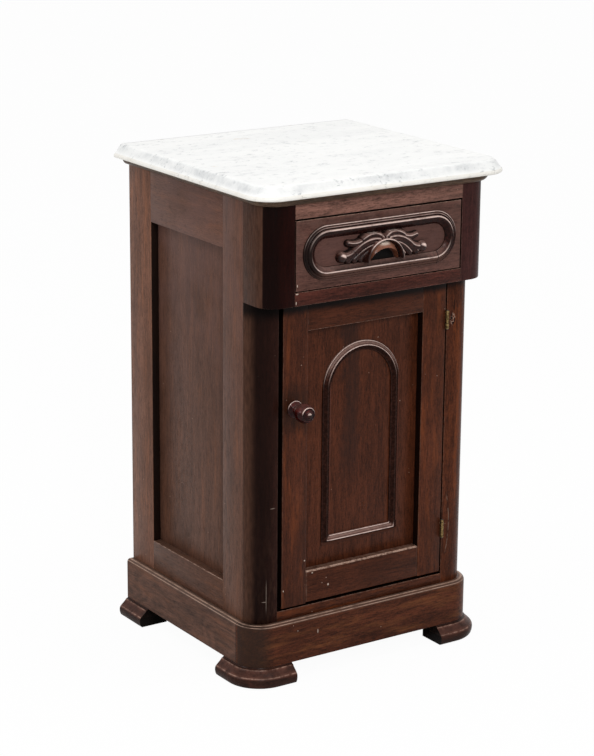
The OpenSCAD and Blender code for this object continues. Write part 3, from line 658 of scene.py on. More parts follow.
def flecks(sheet, *places, strength=0.7):
    """Small pale chips: x, z, half width and half height of each, in mm"""
    for place in places:
        chip = 1 - sheet.oval(*place).step(0.3, 1.0)
        sheet.over(chip * strength, srgb(216, 196, 180))


def side_sheen(sheet):
    """Painted grey sheen on the sides, a reflection, thicker towards the top"""
    patches = sheet.noise(sheet.place, 14, 3, 0.6).step(0.3, 0.7)
    sheet.over(sheet.z.step(0.2, 0.72) * (patches * 0.35 + 0.12), srgb(97, 73, 69))


def turned_side(sheet, edge, soft):
    """A corner piece is painted as pale as the side where it has turned there, at edge, since it
    faces the same light, and painted shade darkens its front towards the curve
    """
    wood, out = sheet.colours.side_wood, sheet.x.size()
    side = out.step(edge - soft, edge + soft)
    streaks = sheet.noise(sheet.place, 240, 3, stretch=(1, 1, 0.25))
    pale = sheet.ramp(streaks, (0.35, toned(wood, 0.5)), (0.65, toned(wood, 0.82)))
    glow = sheet.z.step(0.36, 0.1) * streaks.step(0.45, 0.62) * 0.5
    sheet.over(glow, toned(wood, 0.6))
    # Painted shade on the front, deepest where it nears the curve into the side
    sheet.over(0.7 - out.step(edge - 10 * MM, edge - 40 * MM) * 0.7, SHADOW)
    # The part that has turned into the side is painted as pale as the side, since it faces the
    # same light
    sheet.over(side * 0.92, pale)


def turned_block(sheet):
    """Sharp change from the front to the side"""
    turned_side(sheet, 192.4 * MM, 0.5 * MM)


def turned_column(sheet):
    """Soft change, with a few scratches"""
    turned_side(sheet, 191 * MM, 5 * MM)
    under_shadow(sheet, 9 * MM, 22 * MM)
    flecks(sheet, (-173, 136, 0.5, 30), (-176, 128, 4, 0.8), (-163, 272, 5, 0.8), strength=0.22)


def hinge_damage(sheet):
    """Wood lost beside the upper hinge, and a long let-in patch beside the lower one"""
    worn = sheet.colours.worn_and_highlight_wood
    near = 1 - sheet.oval(159, 514, 5.5, 11).step(0.3, 1.0)
    torn = sheet.noise(sheet.place, 190, 3, 0.6)
    pits = near * torn.step(0.46, 0.52)
    chips = near * torn.step(0.42, 0.46) * (1 - torn.step(0.46, 0.5))
    pits = pits.most(1 - sheet.oval(161, 535, 1.5, 11).step(0.4, 1.0))
    across, up = (sheet.x - 154.5 * MM) / (6.5 * MM), (sheet.z - 189 * MM) / (52 * MM)
    seam = 1 - (across.size() + up * up - 1).size().step(0.0, 0.14)
    broken = sheet.noise(sheet.place, 90, 2).step(0.4, 0.55)
    sheet.over(pits * 0.9, SHADOW)
    sheet.over(chips, toned(worn, 0.9))
    sheet.over(seam * 0.7, SHADOW)
    sheet.over(seam * broken * across.step(0.0, 0.5) * 0.35, worn)
    under_shadow(sheet, 8 * MM)
    sheet.rough = sheet.rough + pits * 0.3


def rail_chips(sheet):
    """Chips at the left end of the middle rail"""
    flecks(sheet, (-144, 598, 3, 0.9), (-145.4, 585, 0.8, 3))


def plinth_edge_marks(sheet):
    """Pale double line of painted highlights along the plinth's worn upper edge over a paler
    painted sheen, painted shade on its rounded left front corner, a few chips, and dark seams
    behind its corners
    """
    worn = sheet.colours.worn_and_highlight_wood
    mottling = sheet.noise(sheet.place, 60, 4, 0.65).step(0.3, 0.58)
    edge = sheet.painted("crest")
    # Painted sheen: the rounding and the ledge a paler pinkish grey
    sheet.over(edge.step(0.05, 0.3) * 0.4, toned(worn, 0.25))
    line = edge.step(0.66, 1.0) * (mottling * 0.6 + 0.3)
    # Painted highlights: the pale double line on the rounding's crests
    sheet.over(line, worn)
    corner = sheet.x.step(-160 * MM, -188 * MM) * sheet.y.step(-118 * MM, -124 * MM) * (1 - line)
    # Painted shade on the rounded left front corner
    sheet.over(corner * 0.8, srgb(38, 27, 21))
    flecks(sheet, (-88, 68, 1.2, 4), (-124, 76, 1, 1), strength=0.4)
    seam = 1 - (sheet.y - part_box("plinth_left")[0].y).size().step(0.3 * MM, 0.9 * MM)
    sheet.over(seam * 0.8, SHADOW)
    sheet.rough = sheet.rough + line * 0.15


def slope_highlights(sheet):
    """Painted highlights in patches on the upper slope of a foot, with a pale line where it is
    painted palest
    """
    pale = sheet.painted("crest")
    patches = sheet.noise(sheet.place, 110, 4, 0.7)
    clouds = sheet.noise(sheet.place, 38, 3, 0.6).step(0.35, 0.65)
    slope = pale.step(0.2, 0.8) * (patches.step(0.3, 0.7) * 0.5 + clouds * 0.45)
    sheet.over(slope * 0.9, srgb(104, 66, 55))
    line = pale.step(0.72, 1.0) * patches.step(0.36, 0.6) * (clouds * 0.7 + 0.3)
    sheet.over(line * 0.7, toned(sheet.colours.worn_and_highlight_wood, 0.9))
    sheet.rough = sheet.rough + slope * 0.1


def drawer_marks(sheet):
    """Paler field inside the moulding, and painted shade behind the pull's mouth"""
    x, z = sheet.x, sheet.z
    reach, rise = (x.size() - STADIUM_REACH).most(0.0), z - STADIUM_Z
    edge = (STADIUM_R * 0.8) ** 2, (STADIUM_R * 0.84) ** 2
    field = 1 - (reach * reach + rise * rise).step(*edge)
    mottle = sheet.noise(sheet.place, 60, 5, 0.7).step(0.34, 0.66)
    sheet.over(field * (mottle * 0.45 + 0.3), srgb(86, 60, 55))
    bare = z.step(STADIUM_LOW.z, STADIUM_Z) * mottle * (1 - field)
    sheet.over(bare * 0.35, srgb(106, 80, 72))
    flecks(sheet, (-143.6, 610, 0.8, 2.4))
    # Painted shade on the face behind the pull's mouth
    foot = PULL_LOW.z
    dx, dz = x / (26.5 * MM), (z - foot + 4 * MM) / (22.5 * MM)
    mouth = (1 - (dx * dx + dz * dz).step(0.8, 1.0)) * z.step(foot - 1 * MM, foot)
    sheet.over(mouth, SHADOW)
    sheet.rough = sheet.rough + mouth * 0.3


def stadium_marks(sheet):
    """Lower run of the drawer's moulding painted lighter brown where it looks down, painted
    shadow of the pull on its inner flank, painted shade on the outer part of the left end, and an
    open joint
    """
    x, z = sheet.x, sheet.z
    lower = z.step(STADIUM_Z - 20 * MM, STADIUM_Z - 30 * MM)
    # Painted light on the lower run where it looks down: brown in place of black
    sheet.over(lower * (1 - sheet.painted("lit").step(0.0, 0.2)) * 0.6, srgb(96, 68, 58))
    # Painted shadow of the pull on the lower run's inner flank
    inner = lower * z.step(STADIUM_LOW.z + 12 * MM, STADIUM_LOW.z + 13 * MM)
    sheet.over(inner * x.size().step(86 * MM, 78 * MM) * 0.85, SHADOW)
    # Painted shade on the outer part of the left end
    end_x, end_z = x - STADIUM_LOW.x - STADIUM_R, z - STADIUM_Z
    outer = (end_x * end_x + end_z * end_z).step((28 * MM) ** 2, (31 * MM) ** 2)
    sheet.over(outer * end_x.step(0, -22 * MM) * 0.75, toned(SHADOW, 3))
    joint = 1 - (x - 100 * MM).size().step(0.3 * MM, 0.8 * MM)
    sheet.over(joint * z.step(STADIUM_Z + 1 * MM, STADIUM_Z) * 0.9, SHADOW)


def lip_wear_and_light(sheet):
    """The lip is rubbed to an orange brown, painted darker below and lighter above, with a
    painted highlight near its upper edge
    """
    lip, up = sheet.painted("lip"), sheet.z.step
    foot = PULL_LOW.z
    patches = sheet.noise(sheet.place, 160, 3, 0.6)
    # Painted light: darker low on the lip, lighter high up
    bare = sheet.mix(up(foot + 9 * MM, foot + 26 * MM), srgb(96, 56, 40), srgb(146, 98, 78))
    # Painted highlight at the top of the lip
    rim = up(foot + 21.5 * MM, foot + 24.5 * MM) * sheet.x.size().step(12 * MM, 4 * MM)
    bare = sheet.mix(rim * patches.step(0.2, 0.5) * 0.8, bare, srgb(240, 222, 206))
    sheet.over(lip * (patches.step(0.25, 0.5) * 0.3 + 0.68), bare)
    sheet.rough = sheet.rough - lip * 0.04


def shaded(sheet):
    """In the shade of the drawer's storey, and chipped"""
    under_shadow(sheet)
    flecks(sheet, (-63, 134, 1.4, 2.2), (-92, 158, 1.6, 1.0))


def handled(sheet):
    """Darkened by hands around the knob"""
    x, z = KNOB_X / MM, KNOB_Z / MM
    cloud = sheet.noise(sheet.place, 40, 3, 0.6)
    near = (1 - (sheet.oval(x, z, 26, 42) + cloud - 0.5).step(0.2, 1.3)) * 0.6
    sheet.over(near, srgb(30, 17, 12))
    under_shadow(sheet)
    flecks(sheet, (-106, 180, 1.3, 1.3), (-143.4, 139, 0.9, 1.6))


def smudge(sheet):
    """Darker cloud down the middle of the arch"""
    cloud = sheet.noise(sheet.place, 22, 3, 0.6)
    middle = ARCH_LOW.x * 0.62 + ARCH_HIGH.x * 0.38
    band = 1 - (sheet.x - middle + (cloud - 0.5) * 0.05).size().step(6 * MM, 22 * MM)
    foot = ARCH_LOW.z
    sheet.over(band * sheet.z.step(foot + 60 * MM, foot + 160 * MM) * 0.55, srgb(38, 24, 20))


def arch_marks(sheet):
    """Warm reflection of the panel along the right-hand edge of each upright run"""
    x, z = sheet.x - ARCH_X, sheet.z
    right = 1 - (x - ARCH_R + 0.6 * MM).size().step(0.8 * MM, 1.8 * MM)
    left = 1 - (x + (ARCH_R - ARCH_BAND) + 0.8 * MM).size().step(0.8 * MM, 1.8 * MM)
    foot, spring = ARCH_LOW.z, ARCH_HIGH.z - ARCH_R
    upright = z.step(foot + 15 * MM, foot + 17 * MM) * z.step(spring + 20 * MM, spring)
    sheet.over((right + left) * upright * 0.8, srgb(94, 56, 46))
    # Painted light on the bottom run's lower flank: brown in place of the quirks' painted shade
    sheet.over(z.step(foot + 6.5 * MM, foot + 4 * MM) * 0.75, srgb(76, 46, 36))


# ---------------------------------------------------------------- tops


class MarbleTop(bpy.types.Operator):
    """Marble slab with a round lip and a slope that eases into its top"""

    bl_idname = "cupboard.marble_top"
    bl_label = "Marble top"

    def execute(self, context):
        lip, slope = context.scene.cupboard_sizes.lip, context.scene.cupboard_sizes.slope
        thick = MARBLE_HIGH.z - MARBLE_LOW.z
        out, up = -2.6 * MM, lip + 0.3 * MM
        profile = [(-2.2 * MM, 0), *arc((-lip / 2, lip / 2), lip / 2, -75, 75, 10),
                   (-2.4 * MM, lip + 0.05 * MM), (out, up)]
        for i in range(1, 11):
            share = i / 10
            rise = 1 - (1 - share) ** 1.7 - 0.05 * sin(2 * pi * share)
            profile.append((out - (slope + out) * share, up + (thick - up) * rise))
        piece = slab("marble_slab", profile, MARBLE_HIGH.x, MARBLE_LOW.y, MARBLE_R, MARBLE_LOW.z)
        heights = [v.co.z - MARBLE_LOW.z for v in piece.data.vertices]
        grey = (min((h - lip) / (thick * 0.25), (thick - h) / (thick * 0.1)) for h in heights)
        paint(piece, "slope", (max(0, min(1, share)) for share in grey))
        paint(piece, "lip", (h < lip * 1.02 for h in heights))
        smooth(piece, 50)
        mount(piece, "case", marble_stone("marble"), "marble_top")
        return {"FINISHED"}


class WoodenTop(bpy.types.Operator):
    """Moulded wooden top under the marble"""

    bl_idname = "cupboard.wooden_top"
    bl_label = "Wooden top"

    def execute(self, context):
        thick = SUB_TOP_HIGH.z - SUB_TOP_LOW.z
        out, root, arris = SUB_TOP_HIGH.x - HALF_W, 2 * MM, 0.5 * MM
        profile = [(1.6 * MM, 0)]
        profile += [(root + (out - root) * sin(a), (thick - 2 * arris) * (1 - cos(a)))
                    for a in map(radians, range(10, 91, 10))]
        profile += [(out, thick - arris), (out - arris, thick)]
        piece = slab("moulded_top", profile, HALF_W, FRONT_Y, CORNER_R, SUB_TOP_LOW.z)
        smooth(piece, 45)
        dark = walnut("top_edge_walnut", "X", srgb(74, 58, 46), 3, srgb(96, 70, 50))
        mount(piece, "case", dark, "sub_top")
        return {"FINISHED"}


# ---------------------------------------------------------------- sides, columns and rails


class SideFrames(bpy.types.Operator):
    """Framed and panelled sides, the left one as the photograph shows it"""

    bl_idname = "cupboard.side_frames"
    bl_label = "Side frames"

    # Grain, shade, sides painted in shade, painted light on the upper face and marks of each
    # board
    boards = {
        "front_stile": ("Z", 1.05, ("+Y",), 0.0, side_sheen),
        "back_stile": ("Z", 1.5, ("-Y",), 0.0, None),
        "top_rail": ("Y", 1.15, ("-Z",), 0.0, side_sheen),
        "bottom_rail": ("Y", 0.9, (), 0.05, side_sheen),
    }

    def execute(self, context):
        finish = context.scene.cupboard_finish
        tone, glint = finish.side_wood, finish.side_glint
        for side, first in (("left_", 5), ("right_", 11)):
            rows = enumerate(self.boards.items(), first)
            for seed, (kind, (grain, shade, dark, ledge, marks)) in rows:
                node = side + kind
                low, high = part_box(node)
                if grain == "Y":
                    low.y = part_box(side + "front_stile")[1].y
                    high.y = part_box(side + "back_stile")[0].y
                piece = board(node + "_board", low, high, wear_and_gleam=0.8, hollow=dark, ledge=ledge)
                varnished(piece, node, grain, toned(tone, shade), seed, toned(glint, shade), 0.3,
                          0.34, 0.1, marks, 0.52)
            node = side + "side_panel"
            piece = board(node + "_board", *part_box(node), 0.2 * MM)
            varnished(piece, node, "Z", toned(tone, 0.95), first + 11, toned(glint, 0.8), 0.5,
                      0.34, 0.1, side_sheen, 0.52)
        return {"FINISHED"}


def post(node, side):
    """Corner piece: a flat face that turns round the corner into the side"""
    low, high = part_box(node)
    sizes = bpy.context.scene.cupboard_sizes
    outer, inner = side * HALF_W, high.x if side < 0 else low.x
    back, centre = outer - side * WALL, (outer - side * CORNER_R, low.y + CORNER_R)
    outline = [(inner, low.y), *arc(centre, CORNER_R, 270, 270 + side * 90, sizes.facets),
               (outer, high.y), (back, high.y), (back, low.y + WALL), (inner, low.y + WALL)]
    outline = [b for a, b in zip(outline[-1:] + outline, outline) if dist(a, b) > 1e-6]
    piece = loft(node + "_round", [[(x, y, z) for x, y in outline] for z in (low.z, high.z)])
    ease(piece, sizes.ease, drop=0.12)
    return smooth(piece, 40)


class CornerPosts(bpy.types.Operator):
    """Rounded blocks beside the drawer and columns beside the door"""

    bl_idname = "cupboard.corner_posts"
    bl_label = "Corner posts"

    def execute(self, context):
        finish = context.scene.cupboard_finish
        posts = [
            ("left_corner_block", -1, toned(finish.dark_wood, 1.1), 2.2, 0.03, turned_block, 0.5),
            ("right_corner_block", 1, srgb(56, 31, 29), 2.2, 0.06, None, 0.5),
            ("latch_column", -1, srgb(42, 22, 17), 2.2, 0.03, turned_column, 0.5),
            ("hinge_column", 1, toned(finish.front_wood, 1.15), 0, 0.06, hinge_damage, 0.8),
        ]
        for seed, (node, side, tone, glint, *look) in enumerate(posts, 21):
            piece = post(node, side)
            shade_hollows(piece, "+X" if side < 0 else "-X")
            varnished(piece, node, "Z", tone, seed, toned(tone, glint) if glint else None, 0.2,
                      0.26, *look, slot="dark_walnut")
        return {"FINISHED"}


class FrontRails(bpy.types.Operator):
    """Rails above, between and below the drawer and the door"""

    bl_idname = "cupboard.front_rails"
    bl_label = "Front rails"

    def execute(self, context):
        rails = [("top_front_rail", srgb(108, 76, 66), 0.1, 0.1, "-Z"),
                 ("mid_front_rail", srgb(66, 33, 26), 0.4, 0.3, "+Z")]
        for seed, (node, tone, wear_and_gleam, drop, dark) in enumerate(rails, 31):
            piece = copied(node, 0.7 * MM, node + "_board", wear_and_gleam, drop)
            shade_hollows(piece, dark)
            varnished(piece, node, "X", tone, seed, toned(tone, 1.7), 0.4, 0.28,
                      marks=rail_chips)
        node, tone = "bottom_front_rail", context.scene.cupboard_finish.front_wood
        piece = board(node + "_board", *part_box(node), wear_and_gleam=0.3, hollow=("+Z",))
        varnished(piece, node, "X", toned(tone, 0.9), 33)
        return {"FINISHED"}


class CaseInside(bpy.types.Operator):
    """Unvarnished boards, runners and blocks inside the case and behind it"""

    bl_idname = "cupboard.case_inside"
    bl_label = "Inside boards"

    def execute(self, context):
        raw_boards("case", 0.6 * MM, 40, back_boards="Z", cupboard_floor="X", dust_board="X",
                   drawer_runners="Y", drawer_guides="Y", drawer_kickers="Y", plinth_back="X",
                   glue_blocks="Z")
        return {"FINISHED"}


# ---------------------------------------------------------------- plinth and feet


class Plinth(bpy.types.Operator):
    """Plinth boards with a rounded and worn upper edge"""

    bl_idname = "cupboard.plinth"
    bl_label = "Plinth"

    # Profile of the worn edge, from the outer face to the top: out and up in shares of its
    # height, and paleness of its painted highlights
    edge = [(0, -1.4, 0), (-0.25, -0.75, 1), (-0.4, -0.62, 0.7), (-0.6, -0.4, 0.3),
            (-0.9, -0.12, 0.3), (-1.2, 0, 1), (-2.6, 0, 0.7)]
    worn = 3.2 * MM
    arris = 0.6 * MM

    def execute(self, context):
        finish = context.scene.cupboard_finish
        steps = context.scene.cupboard_sizes.facets
        low, high = PLINTH_LOW, PLINTH_HIGH
        section = [(-WALL, low.z), (-self.arris, low.z), (0, low.z + self.arris)]
        section += [(out * self.worn, high.z + up * self.worn) for out, up, _ in self.edge]
        section.append((-WALL, high.z))
        pale = [0, 0, 0, *(row[2] for row in self.edge), 0.4]
        middle = high.x - PLINTH_R, low.y + PLINTH_R
        stations = [(-high.x, high.y, 180)]
        for side, start in ((-1, 180), (1, 270)):
            bend = arc((side * middle[0], middle[1]), PLINTH_R, start, start + 90, steps)
            stations += [(x, y, start + 90 * i / steps) for i, (x, y) in enumerate(bend)]
        stations.append((high.x, high.y, 360))
        rings = [[(x + out * cos(radians(a)), y + out * sin(radians(a)), z)
                  for out, z in section] for x, y, a in stations]
        piece = smooth(loft("plinth_front_round", rings, pale))
        varnished(piece, "plinth_front", "X", toned(finish.front_wood, 1.05), 51,
                  srgb(116, 70, 40), 1.2, marks=plinth_edge_marks)
        for node, side, seed in (("plinth_left", -1, 51), ("plinth_right", 1, 53)):
            rings = [[(side * (high.x + out), end.y, z) for out, z in section]
                     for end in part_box(node)]
            piece = smooth(loft(node + "_round", rings, pale))
            varnished(piece, node, "Y", toned(finish.side_wood, 0.9), seed,
                      toned(finish.side_glint, 0.8), 2.2, 0.34, 0.1, plinth_edge_marks, 0.6)
        return {"FINISHED"}


def front_foot(flare):
    """Plan of the front left foot at one height: two legs whose free ends are cut square"""
    x, y = PLINTH_LOW.x, PLINTH_LOW.y
    radius = PLINTH_R + flare
    return [*arc((x - flare + radius, y - flare + radius), radius, 180, 270,
                 bpy.context.scene.cupboard_sizes.facets),
            (x + FOOT_FRONT, y - flare), (x + FOOT_FRONT, y + FOOT_LEG),
            (x + FOOT_LEG, y + FOOT_LEG), (x + FOOT_LEG, y + FOOT_SIDE),
            (x - flare, y + FOOT_SIDE)]


def back_foot(flare):
    """Plan of the back left foot: it flares to the side alone, and is cut square in front"""
    x, leg, front = PLINTH_LOW.x, BACK_Y - FOOT_LEG, BACK_Y - FOOT_BACK
    return [(x - flare, BACK_Y), (x - flare, front), (x + FOOT_LEG, front), (x + FOOT_LEG, leg),
            (x + FOOT_BACK, leg), (x + FOOT_BACK, BACK_Y)]


# Height in shares of the foot's height, flare in shares of its flare, paleness of the painted
# highlight
FOOT_LEVELS = [
    (0, 0.74, 0.0), (0.04, 0.83, 0.0), (0.1, 0.9, 0.05), (0.18, 0.95, 0.1), (0.28, 0.99, 0.1),
    (0.38, 1.0, 0.1), (0.46, 0.985, 0.15), (0.52, 0.945, 0.6), (0.57, 0.88, 1.0),
    (0.61, 0.81, 0.7), (0.68, 0.66, 0.5), (0.76, 0.49, 0.5), (0.83, 0.35, 0.6),
    (0.88, 0.27, 0.8), (0.91, 0.235, 0.9), (0.93, 0.22, 0.9), (0.945, 0.12, 0.1),
    (0.96, 0.05, 0.0), (1, 0, 0.0),
]


class Feet(bpy.types.Operator):
    """Four flared feet with painted highlights on the slope over a dark band"""

    bl_idname = "cupboard.feet"
    bl_label = "Feet"

    def execute(self, context):
        flare, height = context.scene.cupboard_sizes.flare, PLINTH_LOW.z
        wood = walnut("foot_walnut", "X", srgb(44, 25, 19), 61, srgb(78, 44, 34), gloss=0.24,
                      marks=slope_highlights, depth=0.6)
        for place, plan in (("foot_front_", front_foot), ("foot_back_", back_foot)):
            for side, hand in (("left", 1), ("right", -1)):
                node = place + side
                rings = [[(hand * x, y, level * height) for x, y in plan(share * flare)]
                         for level, share, _ in FOOT_LEVELS]
                piece = smooth(loft(node + "_flared", rings), 28)
                paint(piece, "crest", (
                    min(FOOT_LEVELS, key=lambda row: abs(row[0] * height - v.co.z))[2]
                    for v in piece.data.vertices))
                # Painted shade on the faces that look inwards under the plinth
                paint(piece, "hollow", (
                    face.normal.x * hand > 0.95 or abs(face.normal.y) > 0.95
                    and face.normal.y * face.center.y < 0
                    for face in piece.data.polygons), "FACE")
                mount(piece, "case", wood, node)
        return {"FINISHED"}


# ---------------------------------------------------------------- drawer

# Sections of planted mouldings: (across from the inner edge, up, paleness) in shares; paleness
# sets the painted highlight on crests and the painted shade in quirks
STADIUM_SECTION = [
    (0.0, 0.0, 0.0), (0.0, 0.12, 0.0), (0.04, 0.24, 0.3), (0.08, 0.37, 0.4), (0.14, 0.5, 0.5),
    (0.22, 0.66, 0.55), (0.3, 0.8, 0.6), (0.36, 0.89, 0.85), (0.41, 0.95, 1.0),
    (0.45, 0.985, 0.9), (0.5, 1.0, 0.86), (0.54, 0.985, 1.0), (0.59, 0.94, 1.0),
    (0.63, 0.85, 0.9), (0.66, 0.72, 0.4), (0.68, 0.58, 0.0), (0.7, 0.54, 0.0), (0.72, 0.62, 0.6),
    (0.76, 0.66, 0.84), (0.8, 0.63, 0.9), (0.84, 0.54, 0.6), (0.865, 0.4, 0.0),
    (0.88, 0.38, 0.0), (0.9, 0.44, 0.7), (0.94, 0.44, 0.95), (0.98, 0.36, 0.97), (1.0, 0.2, 0.5),
    (1.0, 0.0, 0.0),
]
ARCH_SECTION = [
    (0.0, 0.0, 0.2), (0.0, 0.26, 0.7), (0.03, 0.38, 0.95), (0.08, 0.43, 0.97), (0.11, 0.42, 0.4),
    (0.14, 0.45, 0.3), (0.2, 0.57, 0.55), (0.28, 0.72, 0.6), (0.33, 0.8, 0.6), (0.355, 0.78, 0.1),
    (0.38, 0.82, 0.4), (0.43, 0.93, 0.92), (0.48, 1.0, 1.0), (0.52, 1.0, 1.0), (0.57, 0.93, 0.92),
    (0.62, 0.82, 0.4), (0.645, 0.78, 0.1), (0.67, 0.8, 0.6), (0.72, 0.72, 0.6), (0.8, 0.57, 0.55),
    (0.86, 0.45, 0.3), (0.89, 0.42, 0.4), (0.92, 0.43, 0.97), (0.97, 0.38, 0.95), (1.0, 0.2, 0.7),
    (1.0, 0.0, 0.1),
]


def planted(name, section, width, rise, face_y, stations):
    """Closed moulding that is planted on a face. A station is a point of its inner edge and
    the way outwards there, which is longer at a mitre."""
    rings = [[(x + out_x * width * a, face_y - rise * h, z + out_z * width * a)
              for a, h, _ in section] for x, z, out_x, out_z in stations]
    piece = loft(name, [*rings, rings[0]], [row[2] for row in section], closed=True)
    return smooth(piece, 60)


class Drawer(bpy.types.Operator):
    """Drawer front and the box behind it"""

    bl_idname = "cupboard.drawer"
    bl_label = "Drawer"

    def execute(self, context):
        low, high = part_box("drawer_front")
        piece = board("drawer_face", low + Vector((0.5 * MM, 0, 0.4 * MM)),
                      high - Vector((1.2 * MM, 0, 1.5 * MM)), wear_and_gleam=0.9, drop=0.1,
                      hollow=("+Z", "-X", "+X"))
        face = walnut("drawer_face_walnut", "X", srgb(82, 54, 47), 71, srgb(102, 69, 59), 0.4,
                      marks=drawer_marks, depth=0.6)
        mount(piece, "drawer", face, "drawer_front")
        raw_boards("drawer", 0.5 * MM, 73, drawer_left_side="Y", drawer_right_side="Y",
                   drawer_back="X", drawer_bottom="X")
        paint_node("pull_screws", steel("pull_screw_steel"))
        return {"FINISHED"}


class DrawerMoulding(bpy.types.Operator):
    """Round-ended moulding planted on the drawer front"""

    bl_idname = "cupboard.drawer_moulding"
    bl_label = "Drawer moulding"

    def execute(self, context):
        steps = context.scene.cupboard_sizes.facets * 2
        radius = STADIUM_R - STADIUM_BAND
        stations = []
        for centre, start in ((STADIUM_REACH, -90), (-STADIUM_REACH, 90)):
            for i in range(steps + 1):
                a = radians(start + 180 * i / steps)
                stations.append((centre + radius * cos(a), STADIUM_Z + radius * sin(a), cos(a),
                                 sin(a)))
        piece = planted("drawer_stadium", STADIUM_SECTION, STADIUM_BAND,
                        STADIUM_HIGH.y - STADIUM_LOW.y, FRONT_Y, stations)
        dark = moulded_walnut("stadium_walnut", srgb(50, 22, 18), 5, marks=stadium_marks)
        mount(piece, "drawer", dark, "drawer_moulding")
        return {"FINISHED"}


# Leaves of one spray, in mm from the middle of the pull's foot: a curve through three
# points, half widths and heights at its root and tip
LEAVES = [
    (((4, 33), (16, 45), (35, 33)), (6.6, 6.6), (13.0, 10.5)),
    (((31, 35), (43, 24.5), (60, 30)), (6.4, 5.0), (10.8, 7.5)),
    (((9, 31), (30, 35), (50, 17)), (6.0, 7.0), (13.5, 10.5)),
    (((46, 20), (57, 9), (71, 11)), (7.2, 7.4), (10.8, 8.5)),
    (((15, 28), (38, 29), (60, 6)), (5.4, 6.0), (13.0, 9.0)),
    (((20, 24), (36, 20), (49, 5)), (5.0, 5.6), (12.5, 8.5)),
    (((25, 18), (31, 13), (38, 4.5)), (4.4, 5.0), (12.0, 8.0)),
]
LEAF_POINTS = 60
# The other forms of the pull, in mm: middle, radius, height
BALL_X, BALL_Z, BALL_R = 71, 11, 8.4
RIB_R, RIB_HALF, RIB_HEIGHT = 31, 2.6, 17
GROOVE_R, GROOVE_HEIGHT = 29, 7.5
LIP_Z, LIP_R, LIP_HEIGHT = 1.6, 26.6, 19
BEADS_X, BEAD_Z, BEAD_HALF_W, BEAD_HALF_H, BEAD_HEIGHT = (-6, 0, 6), 33, 2.4, 6.5, 15
MOUTH_Z, MOUTH_HALF_W, MOUTH_HALF_H = -4, 25.2, 22.5


def along(points):
    """Points on the smooth curve of three control points"""
    t = np.linspace(0, 1, LEAF_POINTS)[:, None]
    a, b, c = (np.array(p, float) for p in points)
    return (1 - t) ** 2 * a + 2 * t * (1 - t) * b + t ** 2 * c


def dome(reach, height, power=0.4, foot=0.0):
    """Round form over a foot, where reach grows from 0 in its middle to 1 on its edge"""
    return np.where(reach < 1, foot + height * np.clip(1 - reach ** 2, 0, 1) ** power, 0)


def relief(x, z):
    """Height, paleness and share of the lip at points in mm from the middle of the foot"""
    side, middle = np.abs(x), np.hypot(x, z)
    height, crest, lip = layers = np.zeros((3, len(x)))

    def carve(*form):
        higher = form[0] > height
        for layer, value in zip(layers, form):
            np.copyto(layer, value, where=higher)

    for curve, (w0, w1), (h0, h1) in LEAVES:
        line = along(curve)
        gaps = np.hypot(side[:, None] - line[:, 0], z[:, None] - line[:, 1])
        nearest = gaps.argmin(axis=1)
        share = nearest / (LEAF_POINTS - 1)
        width = w0 + (w1 - w0) * share
        gap = gaps.min(axis=1)
        # A low ground round each leaf, least pale: painted shade outlines the leaves
        carve(np.where(gap < width * 1.15, 1.5, 0), 0, 0)
        gap = gap / width
        # Painted highlight along the upper side of each leaf, and painted shade towards its edges
        ridge = np.clip(1.3 - np.abs(gap - 0.32) / 0.3, 0, 1) * (z > line[nearest, 1])
        edge = np.clip((1 - gap) / 0.5, 0, 1)
        carve(dome(gap, h0 + (h1 - h0) * share, 0.42), edge * (0.4 + 0.5 * ridge), 0)
    # Ball and rib are palest on their crowns, where the painted highlight falls
    ball = np.hypot(side - BALL_X, z - BALL_Z) / BALL_R
    carve(dome(ball, 9, 0.5, foot=2), np.clip(1.5 - ball, 0, 1), 0)
    rib = np.abs(middle - RIB_R) / RIB_HALF
    carve(dome(rib, RIB_HEIGHT), np.clip(1.35 - rib, 0, 1), 0)
    carve(np.where(middle < GROOVE_R, GROOVE_HEIGHT, 0), 0, 0)
    # The lip is paler upwards, as painted light from above
    carve(dome(np.hypot(x, z - LIP_Z) / LIP_R, LIP_HEIGHT, 0.32),
          np.clip((z - 16) / 6, 0.5, 1), 1)
    for bead_x in BEADS_X:
        bead = np.hypot((x - bead_x) / BEAD_HALF_W, (z - BEAD_Z) / BEAD_HALF_H)
        carve(dome(bead, BEAD_HEIGHT), np.clip(1 - bead, 0, 1), 0)
    height[np.hypot(x / MOUTH_HALF_W, (z - MOUTH_Z) / MOUTH_HALF_H) < 1] = 0
    return height, crest, lip


